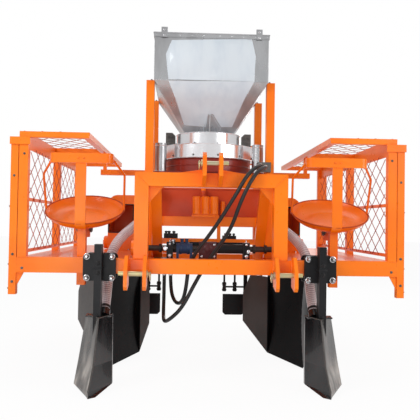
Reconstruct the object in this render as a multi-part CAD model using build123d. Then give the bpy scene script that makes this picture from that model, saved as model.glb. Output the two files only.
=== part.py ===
"""Two-row sugarcane planter for a three-point linkage.

Millimetres, +Z up. The hitch faces -Y, so the operators' seats and the cane feed are towards +Y.
The model is drawn with the front face of the hitch portal at y = 0 and the share tips on z = 0.
At export every piece moves by the same amount, so that the whole stands centred over the origin.
"""

import os
from math import cos, radians, sin, tan

from build123d import *

# Row layout
ROW_X = 615.0
TRACK_GAP = 6.0
WELD_OVERLAP = 2.0

# Main beam across the front
BEAM_PAST_ROW = 85.0
BEAM_HALF = ROW_X + BEAM_PAST_ROW
BEAM_SIZE = 84.0
BEAM_BOTTOM = 630.0
BEAM_TOP = BEAM_BOTTOM + BEAM_SIZE
EDGE_ROUND = 6.0

# Hitch portal on the beam
PORTAL_HALF = 431.0
PORTAL_TUBE = 78.0
PORTAL_DEPTH = 80.0
PORTAL_TOP = 1198.0
PORTAL_UNDER = PORTAL_TOP - PORTAL_TUBE
GUSSET_WIDE = 82.0
GUSSET_TALL = 96.0
GUSSET_THICK = 10.0

# Upper link plates
UPPER_PLATE_X = 45.0
UPPER_PLATE_THICK = 22.0
UPPER_PLATE_TOP = 1307.0
UPPER_PLATE_BOTTOM = 1122.0
UPPER_PLATE_REACH = 105.0
UPPER_PIN_Z = 1247.0
UPPER_PIN_Y = -62.0
UPPER_PIN_RADIUS = 12.5
UPPER_END_RADIUS = 11.0
WING_SPAN = 145.0
WING_RISE = 22.0
WING_THICK = 8.0

# Lower link plates
LOWER_SPAN = 825.0
LOWER_GAP = 82.0
LOWER_PLATE_THICK = 20.0
LOWER_PLATE_TOP = 734.0
LOWER_PLATE_BOTTOM = 548.0
LOWER_PLATE_REACH = 110.0
LOWER_PIN_Z = 636.0
LOWER_PIN_Y = -58.0
LOWER_PIN_RADIUS = 14.0
LOWER_END_RADIUS = 12.5
PIN_CLEARANCE = 0.4
PIN_HEAD_RADIUS = 20.0
PIN_HEAD_THICK = 8.0
PIN_END_LENGTH = 30.0
PIN_STANDOUT = 2.0
HANDLE_REACH = 16.0
RING_RADIUS = 24.0
RING_WIRE = 4.0

# Hopper
HOPPER_HALF = 348.0
HOPPER_FRONT = 287.0
HOPPER_REAR = 1015.0
DRUM_TOP = 1500.0
FUNNEL_BOTTOM = DRUM_TOP
FUNNEL_TALL = 287.0
HOPPER_BEND = FUNNEL_BOTTOM + FUNNEL_TALL
HOPPER_TALL = 290.0
HOPPER_TOP = HOPPER_BEND + HOPPER_TALL
FUNNEL_HALF = 160.0
SHEET = 3.0
RIM_WIDE = 28.0
RIM_THICK = 6.0
TAB_X = 290.0
TAB_WIDE = 38.0
TAB_TALL = 62.0
TAB_THICK = 5.0
FIN_REACH = 26.0

# Hopper posts
POST_SIZE = 50.0
POST_X = HOPPER_HALF + POST_SIZE / 2
FRONT_POST_Y = 333.0
REAR_POST_Y = 952.0
POST_ABOVE_BEND = 3.0
POST_TOP = HOPPER_BEND + POST_ABOVE_BEND
TIE_BAR_Z = 1130.0
TIE_BAR_TALL = 50.0
BRACKET_Z0 = 1346.0
BRACKET_Z1 = 1482.0
BRACKET_WIDE = 34.0

# Chassis rails and platform beams
RAIL_X = POST_X
RAIL_WIDE = 80.0
RAIL_TALL = 72.0
DECK_Z = 702.0
CROSS_TALL = 88.0
CROSS_DEEP = 80.0
FRONT_CROSS_Y = 198.0
MID_CROSS_Y = 850.0
REAR_END_Y = 2000.0
REAR_CROSS_Y = REAR_END_Y - CROSS_DEEP
DECK_HALF = 1124.0
SIDE_RAIL_WIDE = 50.0
FLOOR_THICK = 5.0

# Spreader drum
DRUM_Y = 650.0
RING_UPPER_RADIUS = 212.0
RING_LOWER_RADIUS = 298.0
DRUM_STEP = 1416.0
DRUM_BOTTOM = 1326.0
BASE_RADIUS = 282.0
BASE_BOTTOM = 1236.0
DECK_PLATE_THICK = 10.0

# Gates and outlets round the drum
GATE_WIDE = 64.0
GATE_TALL = 96.0
GATE_THICK = 6.0
GATE_SHELF = 46.0
OUTLET_RADIUS = 36.0

# Stays from the portal back to the rails
STAY_WIDE = 60.0
STAY_POST_GAP = 3.0
STAY_X = POST_X - POST_SIZE / 2 - STAY_POST_GAP - STAY_WIDE / 2
STAY_TOP = 1180.0
STAY_DEEP = 62.0
STAY_FOOT_Y = 450.0

# Drive panel in the portal
PANEL_TOP = 1134.0
PANEL_BOTTOM = 955.0
PANEL_THICK = 6.0
BAR_TALL = 58.0
BAR_DEEP = 60.0
LOW_BAR_TOP = 822.0
LOW_BAR_TALL = 34.0
GUARD_SHEET = 6.0
GUARD_DROP = 65.0
GEARBOX_X = -25.0
GEARBOX_WIDE = 156.0
GEARBOX_DEEP = 64.0
GEARBOX_TALL = 118.0
RIB_RADIUS = 24.0
SPRING_RADIUS = 15.0
SPRING_WIRE = 2.5
SPRING_TALL = 84.0
SPRING_TURNS = 7
STRIP_WIDE = 22.0
STRIP_THICK = 8.0

# Valve bodies on the lower bar: (low x, high x, height)
BAR_FITTINGS = (
    (-275.0, -190.0, 30.0),
    (86.0, 170.0, 20.0),
)

# Cage round each operator
CAGE_OUTER_X = DECK_HALF
CAGE_WALL_INSET = 53.0
CAGE_WALL_X = CAGE_OUTER_X - CAGE_WALL_INSET
ROOF_INNER_X = 717.0
CAGE_FRONT_Y = 198.0
CAGE_MID_Y = 984.0
ROOF_TOP = 1441.0
ROOF_TALL = 34.0
ROOF_BAR = 38.0
WALL_TOP_Z = 1337.0
WALL_MID_Z = 1052.0
WALL_LOW_Z = 750.0
WALL_RAIL_TALL = 20.0
WALL_RAIL_THICK = 8.0
CORNER_POST_DEEP = 46.0
MID_POST = 50.0
MID_POST_Y = 1090.0
REAR_POST_DEEP = 40.0
REAR_POST_WIDE = 80.0
OUTER_POST_GAP = 4.0
OUTER_POST_WIDE = 43.0
OUTER_POST_X = CAGE_OUTER_X + OUTER_POST_GAP + OUTER_POST_WIDE
OUTER_POST_DEEP = 42.0
OUTER_POST_FOOT = 486.0
CAP_TALL = 44.0
CAP_THICK = 10.0
FOOT_GUSSET_TALL = 86.0
FOOT_GUSSET_WIDE = 44.0
GUSSET_PLATE = 8.0

# Expanded mesh
DIAMOND_LONG = 155.0
DIAMOND_TALL = 106.0
STRAND_WIDE = 4.5
STRAND_THICK = 2.5

# Tie bars from the cage roof to the hopper posts
SIDE_TIE_Z = 1253.0
SIDE_TIE_TALL = 38.0
SIDE_TIE_END = 717.0
STRUT_SIZE = 24.0

# Seats
SEAT_X = 774.0
SEAT_Y = 440.0
SEAT_RIM_Z = 994.0
SEAT_RADIUS = 244.0
SEAT_TILT = 22.4
SEAT_DEEP = 58.0
SEAT_SHEET = 5.0
SEAT_FLAT_RADIUS = 110.0
SEAT_SHOULDER_OUT = 0.78
SEAT_SHOULDER_UP = 0.36
SEAT_RIM_LAP = 2.0
SEAT_POST_X = 770.0
SEAT_POST_SIZE = 50.0
SEAT_POST_FOOT = 534.0
SEAT_POST_Y = 300.0
SEAT_POST_TOP = 870.0
SEAT_ARM_TALL = 50.0
SEAT_RISER_LONG = 70.0
BACK_BAR_X = 765.0
BACK_BAR_WIDE = 62.0
BACK_BAR_THICK = 10.0
BACK_BAND_HALF = 180.0
BACK_BAND_BOTTOM = 1262.0
BACK_BAND_TALL = 58.0
BACK_BAND_BEND = 62.0
ARM_ROD = 7.0
ARM_KNEE = 60.0
ARM_DROP = 84.0

# Soil tools on the front beam
CLAMP_LAP = 5.0
CLAMP_WIDE = (BEAM_PAST_ROW + CLAMP_LAP) * 2
CLAMP_BOTTOM = 591.0
CLAMP_TOP = 741.0
CLAMP_THICK = 16.0
CLAMP_ROUND = 22.0
CLAMP_BOLT_INSET = 22.0
CLAMP_BOLT_RADIUS = 9.0
NUT_RADIUS = 15.0
NUT_TALL = 13.0
SHANK_WIDE = 40.0
SHANK_DEEP = 62.0
SHANK_TOP = 794.0
SHANK_BOTTOM = 300.0

# Share boots: sections from the top down
# (height, nose x from the row, nose y, rear y, reach inwards, reach outwards)
BOOT_SECTIONS = (
    (400.0, -14.0, -106.0, 62.0, 72.0, 75.0),
    (150.0, 5.0, -140.0, 40.0, 77.0, 110.0),
    (30.0, 20.0, -200.0, 10.0, 82.0, 126.0),
)
BOOT_SHOULDER = 0.86
BOOT_NOSE_WALL = 20.0
BOOT_TIP_DROP = 30.0
BOOT_WALL = 8.0
SOCKET_RADIUS = 33.0
SOCKET_LENGTH = 40.0

# Furrow openers
OPENER_NOSE_Y = 440.0
OPENER_WING_Y = 900.0
OPENER_WING_X = 452.0
OPENER_TOP = 560.0
OPENER_BOTTOM = 6.0
OPENER_PLATE = 10.0
OPENER_BOW = 25.0
OPENER_TAIL_Y = 1150.0
OPENER_TAIL_X = 300.0
OPENER_SHORT_TAIL = 0.4
OPENER_TAIL_LOW = 190.0
OPENER_TAIL_TOP = 400.0
OPENER_TAIL_RISE = 541.0
OPENER_TAIL_SHOULDER = 0.7
LEG_WIDE = 80.0
LEG_Y = 710.0
LEG_BOTTOM = 250.0
WEB_Y = 812.0
WEB_BOTTOM = 150.0
WEB_TOP = 480.0
ROW_RAIL_WIDE = 80.0

# Cane feed boxes and chutes
FEED_HALF = 95.0
FEED_FRONT = 1060.0
FEED_REAR = 1370.0
FEED_TOP = 1115.0
FEED_ROUND = 70.0
FEED_LIP = 840.0
FEED_SHEET = 5.0
FEED_FLANGE = 24.0
CHUTE_TOP = 650.0
CHUTE_BOTTOM = 190.0
CHUTE_MOUTH_HALF = 60.0
CHUTE_MOUTH_FRONT = 1110.0
CHUTE_MOUTH_REAR = 1320.0

# Cutter rollers
FRONT_ROLLER_Y = 1150.0
REAR_ROLLER_Y = 1280.0
SHAFT_Z = 765.0
SHAFT_RADIUS = 17.0
SHAFT_CLEARANCE = 0.5
ROLLER_RADIUS = 42.0
ROLLER_LENGTH = 150.0
BLADE_TALL = 14.0
BLADE_THICK = 8.0
BLADE_COUNT = 6
GEARCASE_THICK = 34.0
GEARCASE_ROUND = 46.0

# Cross shaft and its hydraulic drive
DRIVE_Y = 238.0
MOTOR_CENTRE = -148.0
MOTOR_LENGTH = 96.0
MOTOR_RADIUS = 32.0
GEARBLOCK_CENTRE = -8.0
GEARBLOCK_LENGTH = 106.0
GEARBLOCK_DEEP = 66.0
GEARBLOCK_TOP = 806.0
SLEEVE_START = 52.0
SLEEVE_RADIUS = 28.0
BEARING_CENTRES = (-235.0, 222.0)
BEARING_WIDE = 38.0
BEARING_DEEP = 66.0
BEARING_TOP = 803.0
GUARD_LOW_X = 428.0
GUARD_THICK = 34.0
GUARD_RADIUS = 44.0
GUARD_FOOT = 60.0
SHAFT_END_GAP = 8.0

# Press wheels
WHEEL_Y = 1700.0
WHEEL_RADIUS = 205.0
WHEEL_WIDE = 130.0
WHEEL_RIM = 12.0
WHEEL_DISC = 10.0
WHEEL_HUB_RADIUS = 36.0
WHEEL_HUB_WIDE = 96.0
WHEEL_SIDE_GAP = 14.0
AXLE_RADIUS = 15.0
AXLE_CLEARANCE = 0.05
ARM_THICK = 12.0
ARM_ROUND = 34.0
ARM_TOP_Y = 1960.0
ARM_TIE_RADIUS = 22.0

# Covering plates
COVER_TABLE = ((-447.0, 1425.0), (280.0, 1425.0))
COVER_HALF = 115.0
COVER_TOP = 355.0
COVER_BOTTOM = 190.0
COVER_CHAMFER = 40.0
COVER_THICK = 8.0
COVER_STEM = 30.0
STRAP_Z = 405.0
STRAP_THICK = 12.0
STUD_SPACING = 105.0
STUD_RADIUS = 13.0
TOOL_BAR_HALF = 575.0
TOOL_BAR_Y = 1405.0
TOOL_BAR_DEEP = 60.0
TOOL_BAR_TALL = 50.0

# Fertiliser hoses
FEED_HOSE_RADIUS = 29.0
FEED_HOSE_ROUTE = (
    (306.0, 425.0, 1222.0),
    (306.0, 425.0, 1030.0),
    (448.0, 420.0, 905.0),
    (543.0, 240.0, 812.0),
    (583.0, 149.0, 703.0),
    (588.0, 147.0, 541.0),
    (588.0, 29.0, 424.5),
)

# Hydraulic hoses
OIL_HOSE_RADIUS = 11.0
OIL_HOSE_FIRST = (
    (305.0, 290.0, 1270.0),
    (305.0, 120.0, 1270.0),
    (205.0, -45.0, 1212.0),
    (125.0, -52.0, 1065.0),
    (7.0, 40.0, 868.0),
    (-120.0, 130.0, 700.0),
    (-137.0, 130.0, 512.0),
    (-164.4, 198.2, 438.5),
    (-203.2, 294.7, 438.5),
    (-230.6, 362.9, 512.0),
    (-230.6, 362.9, 640.0),
)
OIL_HOSE_SECOND = (
    (335.0, 290.0, 1262.0),
    (335.0, 130.0, 1262.0),
    (240.0, -48.0, 1207.0),
    (158.0, -58.0, 1045.0),
    (112.0, 30.0, 880.0),
    (0.0, 128.0, 715.0),
    (-82.0, 120.0, 575.0),
    (-155.0, 100.0, 430.0),
    (-228.0, 140.0, 355.0),
    (-264.0, 245.0, 325.0),
    (-270.0, 345.0, 365.0),
    (-270.0, 400.0, 460.0),
    (-270.0, 400.0, 640.0),
)
BEND_SHARE = 0.45
PORT_BLOCK_TOP = 700.0
PORT_BLOCK_BOTTOM = 660.0
PORT_RADIUS = 15.0
BULKHEAD_TALL = 60.0


def block(x_low, x_high, y_low, y_high, z_low, z_high):
    """Box between two corners."""
    size = Box(x_high - x_low, y_high - y_low, z_high - z_low)
    return Pos((x_low + x_high) / 2, (y_low + y_high) / 2, (z_low + z_high) / 2) * size


def both(shapes):
    """The shapes and their mirror images across the centre plane."""
    listed = shapes if isinstance(shapes, list) else [shapes]
    return listed + [mirror(shape, about=Plane.YZ) for shape in listed]


def rod_x(x_low, x_high, y_at, z_at, radius):
    """Round bar along X."""
    bar = Rot(0, 90, 0) * Cylinder(radius, x_high - x_low)
    return Pos((x_low + x_high) / 2, y_at, z_at) * bar


def rod_y(x_at, y_low, y_high, z_at, radius):
    """Round bar along Y."""
    bar = Rot(90, 0, 0) * Cylinder(radius, y_high - y_low)
    return Pos(x_at, (y_low + y_high) / 2, z_at) * bar


def rod_z(x_at, y_at, z_low, z_high, radius):
    """Round bar along Z."""
    return Pos(x_at, y_at, (z_low + z_high) / 2) * Cylinder(radius, z_high - z_low)


def plate_yz(points, x_low, x_high):
    """Flat plate with a (y, z) outline, standing across X."""
    face = Plane.YZ * make_face(Polyline(*points, close=True))
    return Pos(x_low, 0, 0) * extrude(face, x_high - x_low, dir=(1, 0, 0))


def plate_xz(points, y_low, y_high):
    """Flat plate with an (x, z) outline, standing across Y."""
    outline = Polyline(*[(x, y_low, z) for x, z in points], close=True)
    return extrude(make_face(outline), y_high - y_low, dir=(0, 1, 0))


def plate_xy(points, z_low, z_high):
    """Flat plate with an (x, y) outline."""
    outline = Polyline(*[(x, y, z_low) for x, y in points], close=True)
    return extrude(make_face(outline), z_high - z_low, dir=(0, 0, 1))


def bent_rod(points, radius, bends):
    """Round bar along a path with rounded corners."""
    path = FilletPolyline(*points, radius=bends)
    start = Plane(origin=path @ 0, z_dir=path % 0)
    return sweep(start * Circle(radius), path=path)


def bent_bar(points, wide, thick, bends, across):
    """Flat bar along a path with rounded corners, its width lying along `across`."""
    path = FilletPolyline(*points, radius=bends)
    start = Plane(origin=path @ 0, x_dir=across, z_dir=path % 0)
    return sweep(start * Rectangle(wide, thick), path=path)


def main_beam():
    beam = block(-BEAM_HALF, BEAM_HALF, 0, BEAM_SIZE, BEAM_BOTTOM, BEAM_TOP)
    return [fillet(beam.edges().filter_by(Axis.X), EDGE_ROUND)]


def portal_frame():
    inner = PORTAL_HALF - PORTAL_TUBE
    upright = block(inner, PORTAL_HALF, 0, PORTAL_DEPTH, BEAM_TOP, PORTAL_TOP)
    top = block(-inner, inner, 0, PORTAL_DEPTH, PORTAL_UNDER, PORTAL_TOP)
    front = (PORTAL_DEPTH - GUSSET_THICK) / 2
    corner = plate_xz(
        [(inner, PORTAL_UNDER), (inner, PORTAL_UNDER - GUSSET_TALL), (inner - GUSSET_WIDE, PORTAL_UNDER)],
        front,
        front + GUSSET_THICK,
    )
    frame = top
    for piece in both([upright, corner]):
        frame += piece
    return [frame]


def upper_hitch():
    outer = UPPER_PLATE_X + UPPER_PLATE_THICK / 2
    inner = UPPER_PLATE_X - UPPER_PLATE_THICK / 2
    outline = [
        (0, UPPER_PLATE_BOTTOM),
        (-UPPER_PLATE_REACH, UPPER_PLATE_BOTTOM + UPPER_PLATE_REACH / 2),
        (-UPPER_PLATE_REACH, UPPER_PLATE_TOP - UPPER_PLATE_THICK),
        (UPPER_PIN_Y, UPPER_PLATE_TOP),
        (PORTAL_DEPTH / 2, PORTAL_TOP + WELD_OVERLAP),
        (PORTAL_DEPTH / 2, PORTAL_TOP),
        (0, PORTAL_TOP),
    ]
    cheek = plate_yz(outline, inner, outer)
    cheek -= rod_x(inner, outer, UPPER_PIN_Y, UPPER_PIN_Z, UPPER_PIN_RADIUS + PIN_CLEARANCE)
    wing = plate_xz(
        [(outer, PORTAL_TOP), (outer + WING_SPAN, PORTAL_TOP), (outer, PORTAL_TOP + WING_RISE)],
        PORTAL_DEPTH / 2 - WING_THICK,
        PORTAL_DEPTH / 2,
    )
    return both(cheek + wing)


def ring(x_at, y_at, z_at, radius, wire, normal):
    """Wire ring round a centre."""
    path = Plane(origin=(x_at, y_at, z_at), z_dir=normal) * CenterArc((0, 0), radius, 0, 360)
    start = Plane(origin=path @ 0, z_dir=path % 0)
    return sweep(start * Circle(wire), path=path)


def hitch_pin(handle_x, free_x, y_at, z_at, radius, end_radius, drop):
    """Pin with a head and a ring on one side and a thinner free end on the other."""
    side = 1 if free_x > handle_x else -1

    def run(first, last, thickness):
        return rod_x(min(first, last), max(first, last), y_at, z_at, thickness)

    head_x = handle_x - side * PIN_HEAD_THICK
    neck_x = head_x - side * HANDLE_REACH
    shoulder = free_x + side * PIN_STANDOUT
    pin = run(head_x, shoulder, radius)
    pin += run(handle_x, head_x, PIN_HEAD_RADIUS)
    pin += run(head_x, neck_x, radius - RING_WIRE)
    pin += run(shoulder, shoulder + side * PIN_END_LENGTH, end_radius)
    return pin + ring(neck_x + side * RING_WIRE * 1.5, y_at, z_at - drop, RING_RADIUS, RING_WIRE, (1, 0, 0))


def upper_hitch_pin():
    outer = UPPER_PLATE_X + UPPER_PLATE_THICK / 2
    radii = (UPPER_PIN_RADIUS, UPPER_END_RADIUS, RING_RADIUS / 2)
    return [hitch_pin(-outer, outer, UPPER_PIN_Y, UPPER_PIN_Z, *radii)]


def lower_centres():
    """X of the inner and outer cheek centres of one lower link."""
    half = (LOWER_GAP + LOWER_PLATE_THICK) / 2
    return LOWER_SPAN / 2 - half, LOWER_SPAN / 2 + half


def lower_hitch_plates():
    outline = [
        (0, LOWER_PLATE_TOP),
        (0, LOWER_PLATE_BOTTOM + LOWER_PLATE_THICK),
        (-LOWER_PLATE_REACH + LOWER_PLATE_THICK, LOWER_PLATE_BOTTOM),
        (-LOWER_PLATE_REACH, LOWER_PLATE_BOTTOM + LOWER_PLATE_THICK),
        (-LOWER_PLATE_REACH, LOWER_PIN_Z + LOWER_PLATE_THICK),
        (LOWER_PIN_Y, LOWER_PLATE_TOP),
    ]
    cheeks = []
    for centre in lower_centres():
        low = centre - LOWER_PLATE_THICK / 2
        high = centre + LOWER_PLATE_THICK / 2
        cheek = plate_yz(outline, low, high)
        cheeks.append(cheek - rod_x(low, high, LOWER_PIN_Y, LOWER_PIN_Z, LOWER_PIN_RADIUS + PIN_CLEARANCE))
    return both(cheeks)


def lower_hitch_pins():
    inner, outer = lower_centres()
    low = inner - LOWER_PLATE_THICK / 2
    high = outer + LOWER_PLATE_THICK / 2
    radii = (LOWER_PIN_RADIUS, LOWER_END_RADIUS, RING_RADIUS / 2)
    return both(hitch_pin(low, high, LOWER_PIN_Y, LOWER_PIN_Z, *radii))


def chassis_frame():
    inner = RAIL_X - RAIL_WIDE / 2
    outer = RAIL_X + RAIL_WIDE / 2
    frame = None
    rail = block(inner, outer, BEAM_SIZE, REAR_END_Y, DECK_Z - RAIL_TALL, DECK_Z)
    side = block(
        DECK_HALF - SIDE_RAIL_WIDE, DECK_HALF, FRONT_CROSS_Y, REAR_END_Y, DECK_Z - CROSS_TALL, DECK_Z
    )
    frame = rail + mirror(rail, about=Plane.YZ)
    for piece in both(side):
        frame += piece
    for front in (FRONT_CROSS_Y, MID_CROSS_Y, REAR_CROSS_Y):
        frame += block(-DECK_HALF, DECK_HALF, front, front + CROSS_DEEP, DECK_Z - CROSS_TALL, DECK_Z)
    row_rail = block(
        ROW_X - ROW_RAIL_WIDE / 2,
        ROW_X + ROW_RAIL_WIDE / 2,
        FRONT_CROSS_Y + CROSS_DEEP,
        MID_CROSS_Y,
        DECK_Z - RAIL_TALL,
        DECK_Z,
    )
    for piece in both(row_rail):
        frame += piece
    bar_low = DECK_Z - CROSS_TALL
    frame += block(
        -TOOL_BAR_HALF,
        TOOL_BAR_HALF,
        TOOL_BAR_Y,
        TOOL_BAR_Y + TOOL_BAR_DEEP,
        bar_low,
        bar_low + TOOL_BAR_TALL,
    )
    return [frame]


def platform_floors():
    """Floor sheets of both platforms, open where the feed boxes and the posts stand."""
    inner = RAIL_X - RAIL_WIDE / 2
    opening = FEED_HALF + TRACK_GAP
    floor = block(inner, CAGE_WALL_X, FRONT_CROSS_Y, REAR_END_Y, DECK_Z, DECK_Z + FLOOR_THICK)
    seat_low = SEAT_POST_X - SEAT_POST_SIZE / 2
    spans = (
        (CAGE_OUTER_X - REAR_POST_WIDE, CAGE_WALL_X, REAR_END_Y - REAR_POST_DEEP, REAR_END_Y),
        (ROW_X - opening, ROW_X + opening, FEED_FRONT - TRACK_GAP, FEED_REAR + TRACK_GAP),
        (seat_low, seat_low + SEAT_POST_SIZE, SEAT_POST_Y, SEAT_POST_Y + SEAT_POST_SIZE),
        (POST_X - POST_SIZE / 2, POST_X + POST_SIZE / 2, FRONT_POST_Y, FRONT_POST_Y + POST_SIZE),
        (POST_X - POST_SIZE / 2, POST_X + POST_SIZE / 2, REAR_POST_Y, REAR_POST_Y + POST_SIZE),
        (STAY_X - STAY_WIDE / 2, STAY_X + STAY_WIDE / 2, PORTAL_DEPTH, STAY_FOOT_Y),
    )
    for span in spans:
        floor -= block(*span, DECK_Z, DECK_Z + FLOOR_THICK * 2)
    return both(floor)


def hopper_posts():
    low = POST_X - POST_SIZE / 2
    high = POST_X + POST_SIZE / 2
    frame = block(low, high, PORTAL_DEPTH, REAR_POST_Y + POST_SIZE, TIE_BAR_Z, TIE_BAR_Z + TIE_BAR_TALL)
    for front in (FRONT_POST_Y, REAR_POST_Y):
        frame += block(low, high, front, front + POST_SIZE, DECK_Z, POST_TOP)
    frame += block(low - BRACKET_WIDE, low, REAR_POST_Y, REAR_POST_Y + POST_SIZE, BRACKET_Z0, BRACKET_Z1)
    return both(frame)


def hopper():
    middle = (HOPPER_FRONT + HOPPER_REAR) / 2
    deep = HOPPER_REAR - HOPPER_FRONT
    wide = HOPPER_HALF * 2

    def section(z_at, width, depth, y_at):
        return Pos(0, y_at, z_at) * Rectangle(width, depth)

    box = block(-HOPPER_HALF, HOPPER_HALF, HOPPER_FRONT, HOPPER_REAR, HOPPER_BEND, HOPPER_TOP)
    cone = loft(
        [
            section(HOPPER_BEND, wide, deep, middle),
            section(FUNNEL_BOTTOM, FUNNEL_HALF * 2, FUNNEL_HALF * 2, DRUM_Y),
        ],
        ruled=True,
    )
    inner_box = block(
        SHEET - HOPPER_HALF,
        HOPPER_HALF - SHEET,
        HOPPER_FRONT + SHEET,
        HOPPER_REAR - SHEET,
        HOPPER_BEND,
        HOPPER_TOP,
    )
    inner_cone = loft(
        [
            section(HOPPER_BEND, wide - SHEET * 2, deep - SHEET * 2, middle),
            section(FUNNEL_BOTTOM, (FUNNEL_HALF - SHEET) * 2, (FUNNEL_HALF - SHEET) * 2, DRUM_Y),
        ],
        ruled=True,
    )
    rim = block(
        -HOPPER_HALF - RIM_THICK,
        HOPPER_HALF + RIM_THICK,
        HOPPER_FRONT - RIM_THICK,
        HOPPER_REAR + RIM_THICK,
        HOPPER_TOP - RIM_WIDE,
        HOPPER_TOP,
    )
    body = box + cone + rim - inner_box - inner_cone
    for centre in (-TAB_X, TAB_X):
        body += block(
            centre - TAB_WIDE / 2,
            centre + TAB_WIDE / 2,
            HOPPER_FRONT - RIM_THICK - TAB_THICK,
            HOPPER_FRONT - RIM_THICK,
            HOPPER_TOP - TAB_TALL / 2,
            HOPPER_TOP + TAB_TALL / 2,
        )
    slope = (DRUM_Y - FUNNEL_HALF - HOPPER_FRONT) / (HOPPER_BEND - FUNNEL_BOTTOM)
    fin_top = FUNNEL_BOTTOM + FIN_REACH * 4
    front_low = DRUM_Y - FUNNEL_HALF
    fin = plate_yz(
        [
            (front_low + SHEET, FUNNEL_BOTTOM),
            (front_low - FIN_REACH * 2, FUNNEL_BOTTOM),
            (front_low - slope * (fin_top - FUNNEL_BOTTOM), fin_top),
            (front_low - slope * (fin_top - FUNNEL_BOTTOM) + SHEET, fin_top),
        ],
        -SHEET,
        SHEET,
    )
    return [body + fin]


def spreader_drum():
    upper = Pos(0, DRUM_Y, (DRUM_TOP + DRUM_STEP) / 2) * Cylinder(RING_UPPER_RADIUS, DRUM_TOP - DRUM_STEP)
    lower = Pos(0, DRUM_Y, (DRUM_STEP + DRUM_BOTTOM) / 2) * Cylinder(
        RING_LOWER_RADIUS, DRUM_STEP - DRUM_BOTTOM
    )
    return [upper + lower]


def drum_base():
    base = Pos(0, DRUM_Y, (BASE_BOTTOM + DRUM_BOTTOM) / 2) * Cylinder(BASE_RADIUS, DRUM_BOTTOM - BASE_BOTTOM)
    deck = block(
        -POST_X - POST_SIZE / 2,
        POST_X + POST_SIZE / 2,
        FRONT_POST_Y + POST_SIZE,
        REAR_POST_Y,
        BASE_BOTTOM - DECK_PLATE_THICK,
        BASE_BOTTOM,
    )
    leg_low = TIE_BAR_Z + TIE_BAR_TALL
    leg = block(
        POST_X - POST_SIZE / 2,
        POST_X + POST_SIZE / 2,
        DRUM_Y - POST_SIZE,
        DRUM_Y + POST_SIZE,
        leg_low,
        BASE_BOTTOM - DECK_PLATE_THICK,
    )
    body = base + deck
    for piece in both(leg):
        body += piece
    spout_x, spout_y, spout_low = FEED_HOSE_ROUTE[0]
    for hole in both(rod_z(spout_x, spout_y, spout_low, BASE_BOTTOM, OUTLET_RADIUS)):
        body -= hole
    return [body]


def gate_brackets():
    """Angle brackets beside the upper ring, one on each side."""
    inner = RING_UPPER_RADIUS + TRACK_GAP
    tall = plate_xz(
        [
            (inner, DRUM_STEP),
            (inner + GATE_WIDE, DRUM_STEP),
            (inner + GATE_WIDE, DRUM_STEP + GATE_TALL),
            (inner + GATE_WIDE / 3, DRUM_STEP + GATE_TALL),
            (inner, DRUM_STEP + GATE_TALL - GATE_WIDE / 3),
        ],
        DRUM_Y - GATE_SHELF,
        DRUM_Y - GATE_SHELF + GATE_THICK,
    )
    shelf = block(
        inner,
        inner + GATE_WIDE,
        DRUM_Y - GATE_SHELF,
        DRUM_Y + GATE_SHELF,
        DRUM_STEP,
        DRUM_STEP + GATE_THICK,
    )
    return both(tall + shelf)


def outlet_chutes():
    """Short stainless spouts that leave the drum to each side, clear of the posts."""
    spout_x, spout_y, spout_low = FEED_HOSE_ROUTE[0]
    spout = rod_z(spout_x, spout_y, spout_low, DRUM_STEP, OUTLET_RADIUS)
    spout -= rod_z(0, DRUM_Y, DRUM_BOTTOM, DRUM_STEP, RING_LOWER_RADIUS)
    spout -= rod_z(0, DRUM_Y, BASE_BOTTOM, DRUM_BOTTOM, BASE_RADIUS)
    return both(spout)


def portal_stays():
    """Inclined stays from the portal's top bar back to the chassis rails."""
    slope = (STAY_FOOT_Y - PORTAL_DEPTH) / (STAY_TOP - DECK_Z)
    outline = [
        (PORTAL_DEPTH, STAY_TOP),
        (PORTAL_DEPTH, STAY_TOP - STAY_DEEP),
        (STAY_FOOT_Y - STAY_DEEP * slope, DECK_Z),
        (STAY_FOOT_Y, DECK_Z),
    ]
    return both(plate_yz(outline, STAY_X - STAY_WIDE / 2, STAY_X + STAY_WIDE / 2))


def cross_bars():
    """Upper bar between the front posts with the panel above it, and lower bar between the stays."""
    half = POST_X - POST_SIZE / 2
    rear = FRONT_POST_Y + POST_SIZE
    upper = block(-half, half, rear - BAR_DEEP, rear, PANEL_BOTTOM - BAR_TALL, PANEL_BOTTOM)
    panel = block(-half, half, FRONT_POST_Y, FRONT_POST_Y + PANEL_THICK, PANEL_BOTTOM, PANEL_TOP)
    inner = STAY_X - STAY_WIDE / 2
    lower = block(-inner, inner, FRONT_POST_Y, rear, LOW_BAR_TOP - LOW_BAR_TALL, LOW_BAR_TOP)
    return [upper + panel, lower]


def bar_fittings():
    """Small valve bodies on the lower cross bar."""
    return [
        block(low, high, FRONT_POST_Y, FRONT_POST_Y + POST_SIZE, LOW_BAR_TOP, LOW_BAR_TOP + tall)
        for low, high, tall in BAR_FITTINGS
    ]


def shaft_guard():
    """Plate behind the cross shaft, from bearing to bearing."""
    low, high = BEARING_CENTRES
    front = DRIVE_Y + BEARING_DEEP / 2
    return [
        block(
            low - BEARING_WIDE / 2,
            high + BEARING_WIDE / 2,
            front,
            front + GUARD_SHEET,
            BEARING_TOP - GUARD_DROP,
            BEARING_TOP,
        )
    ]


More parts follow.
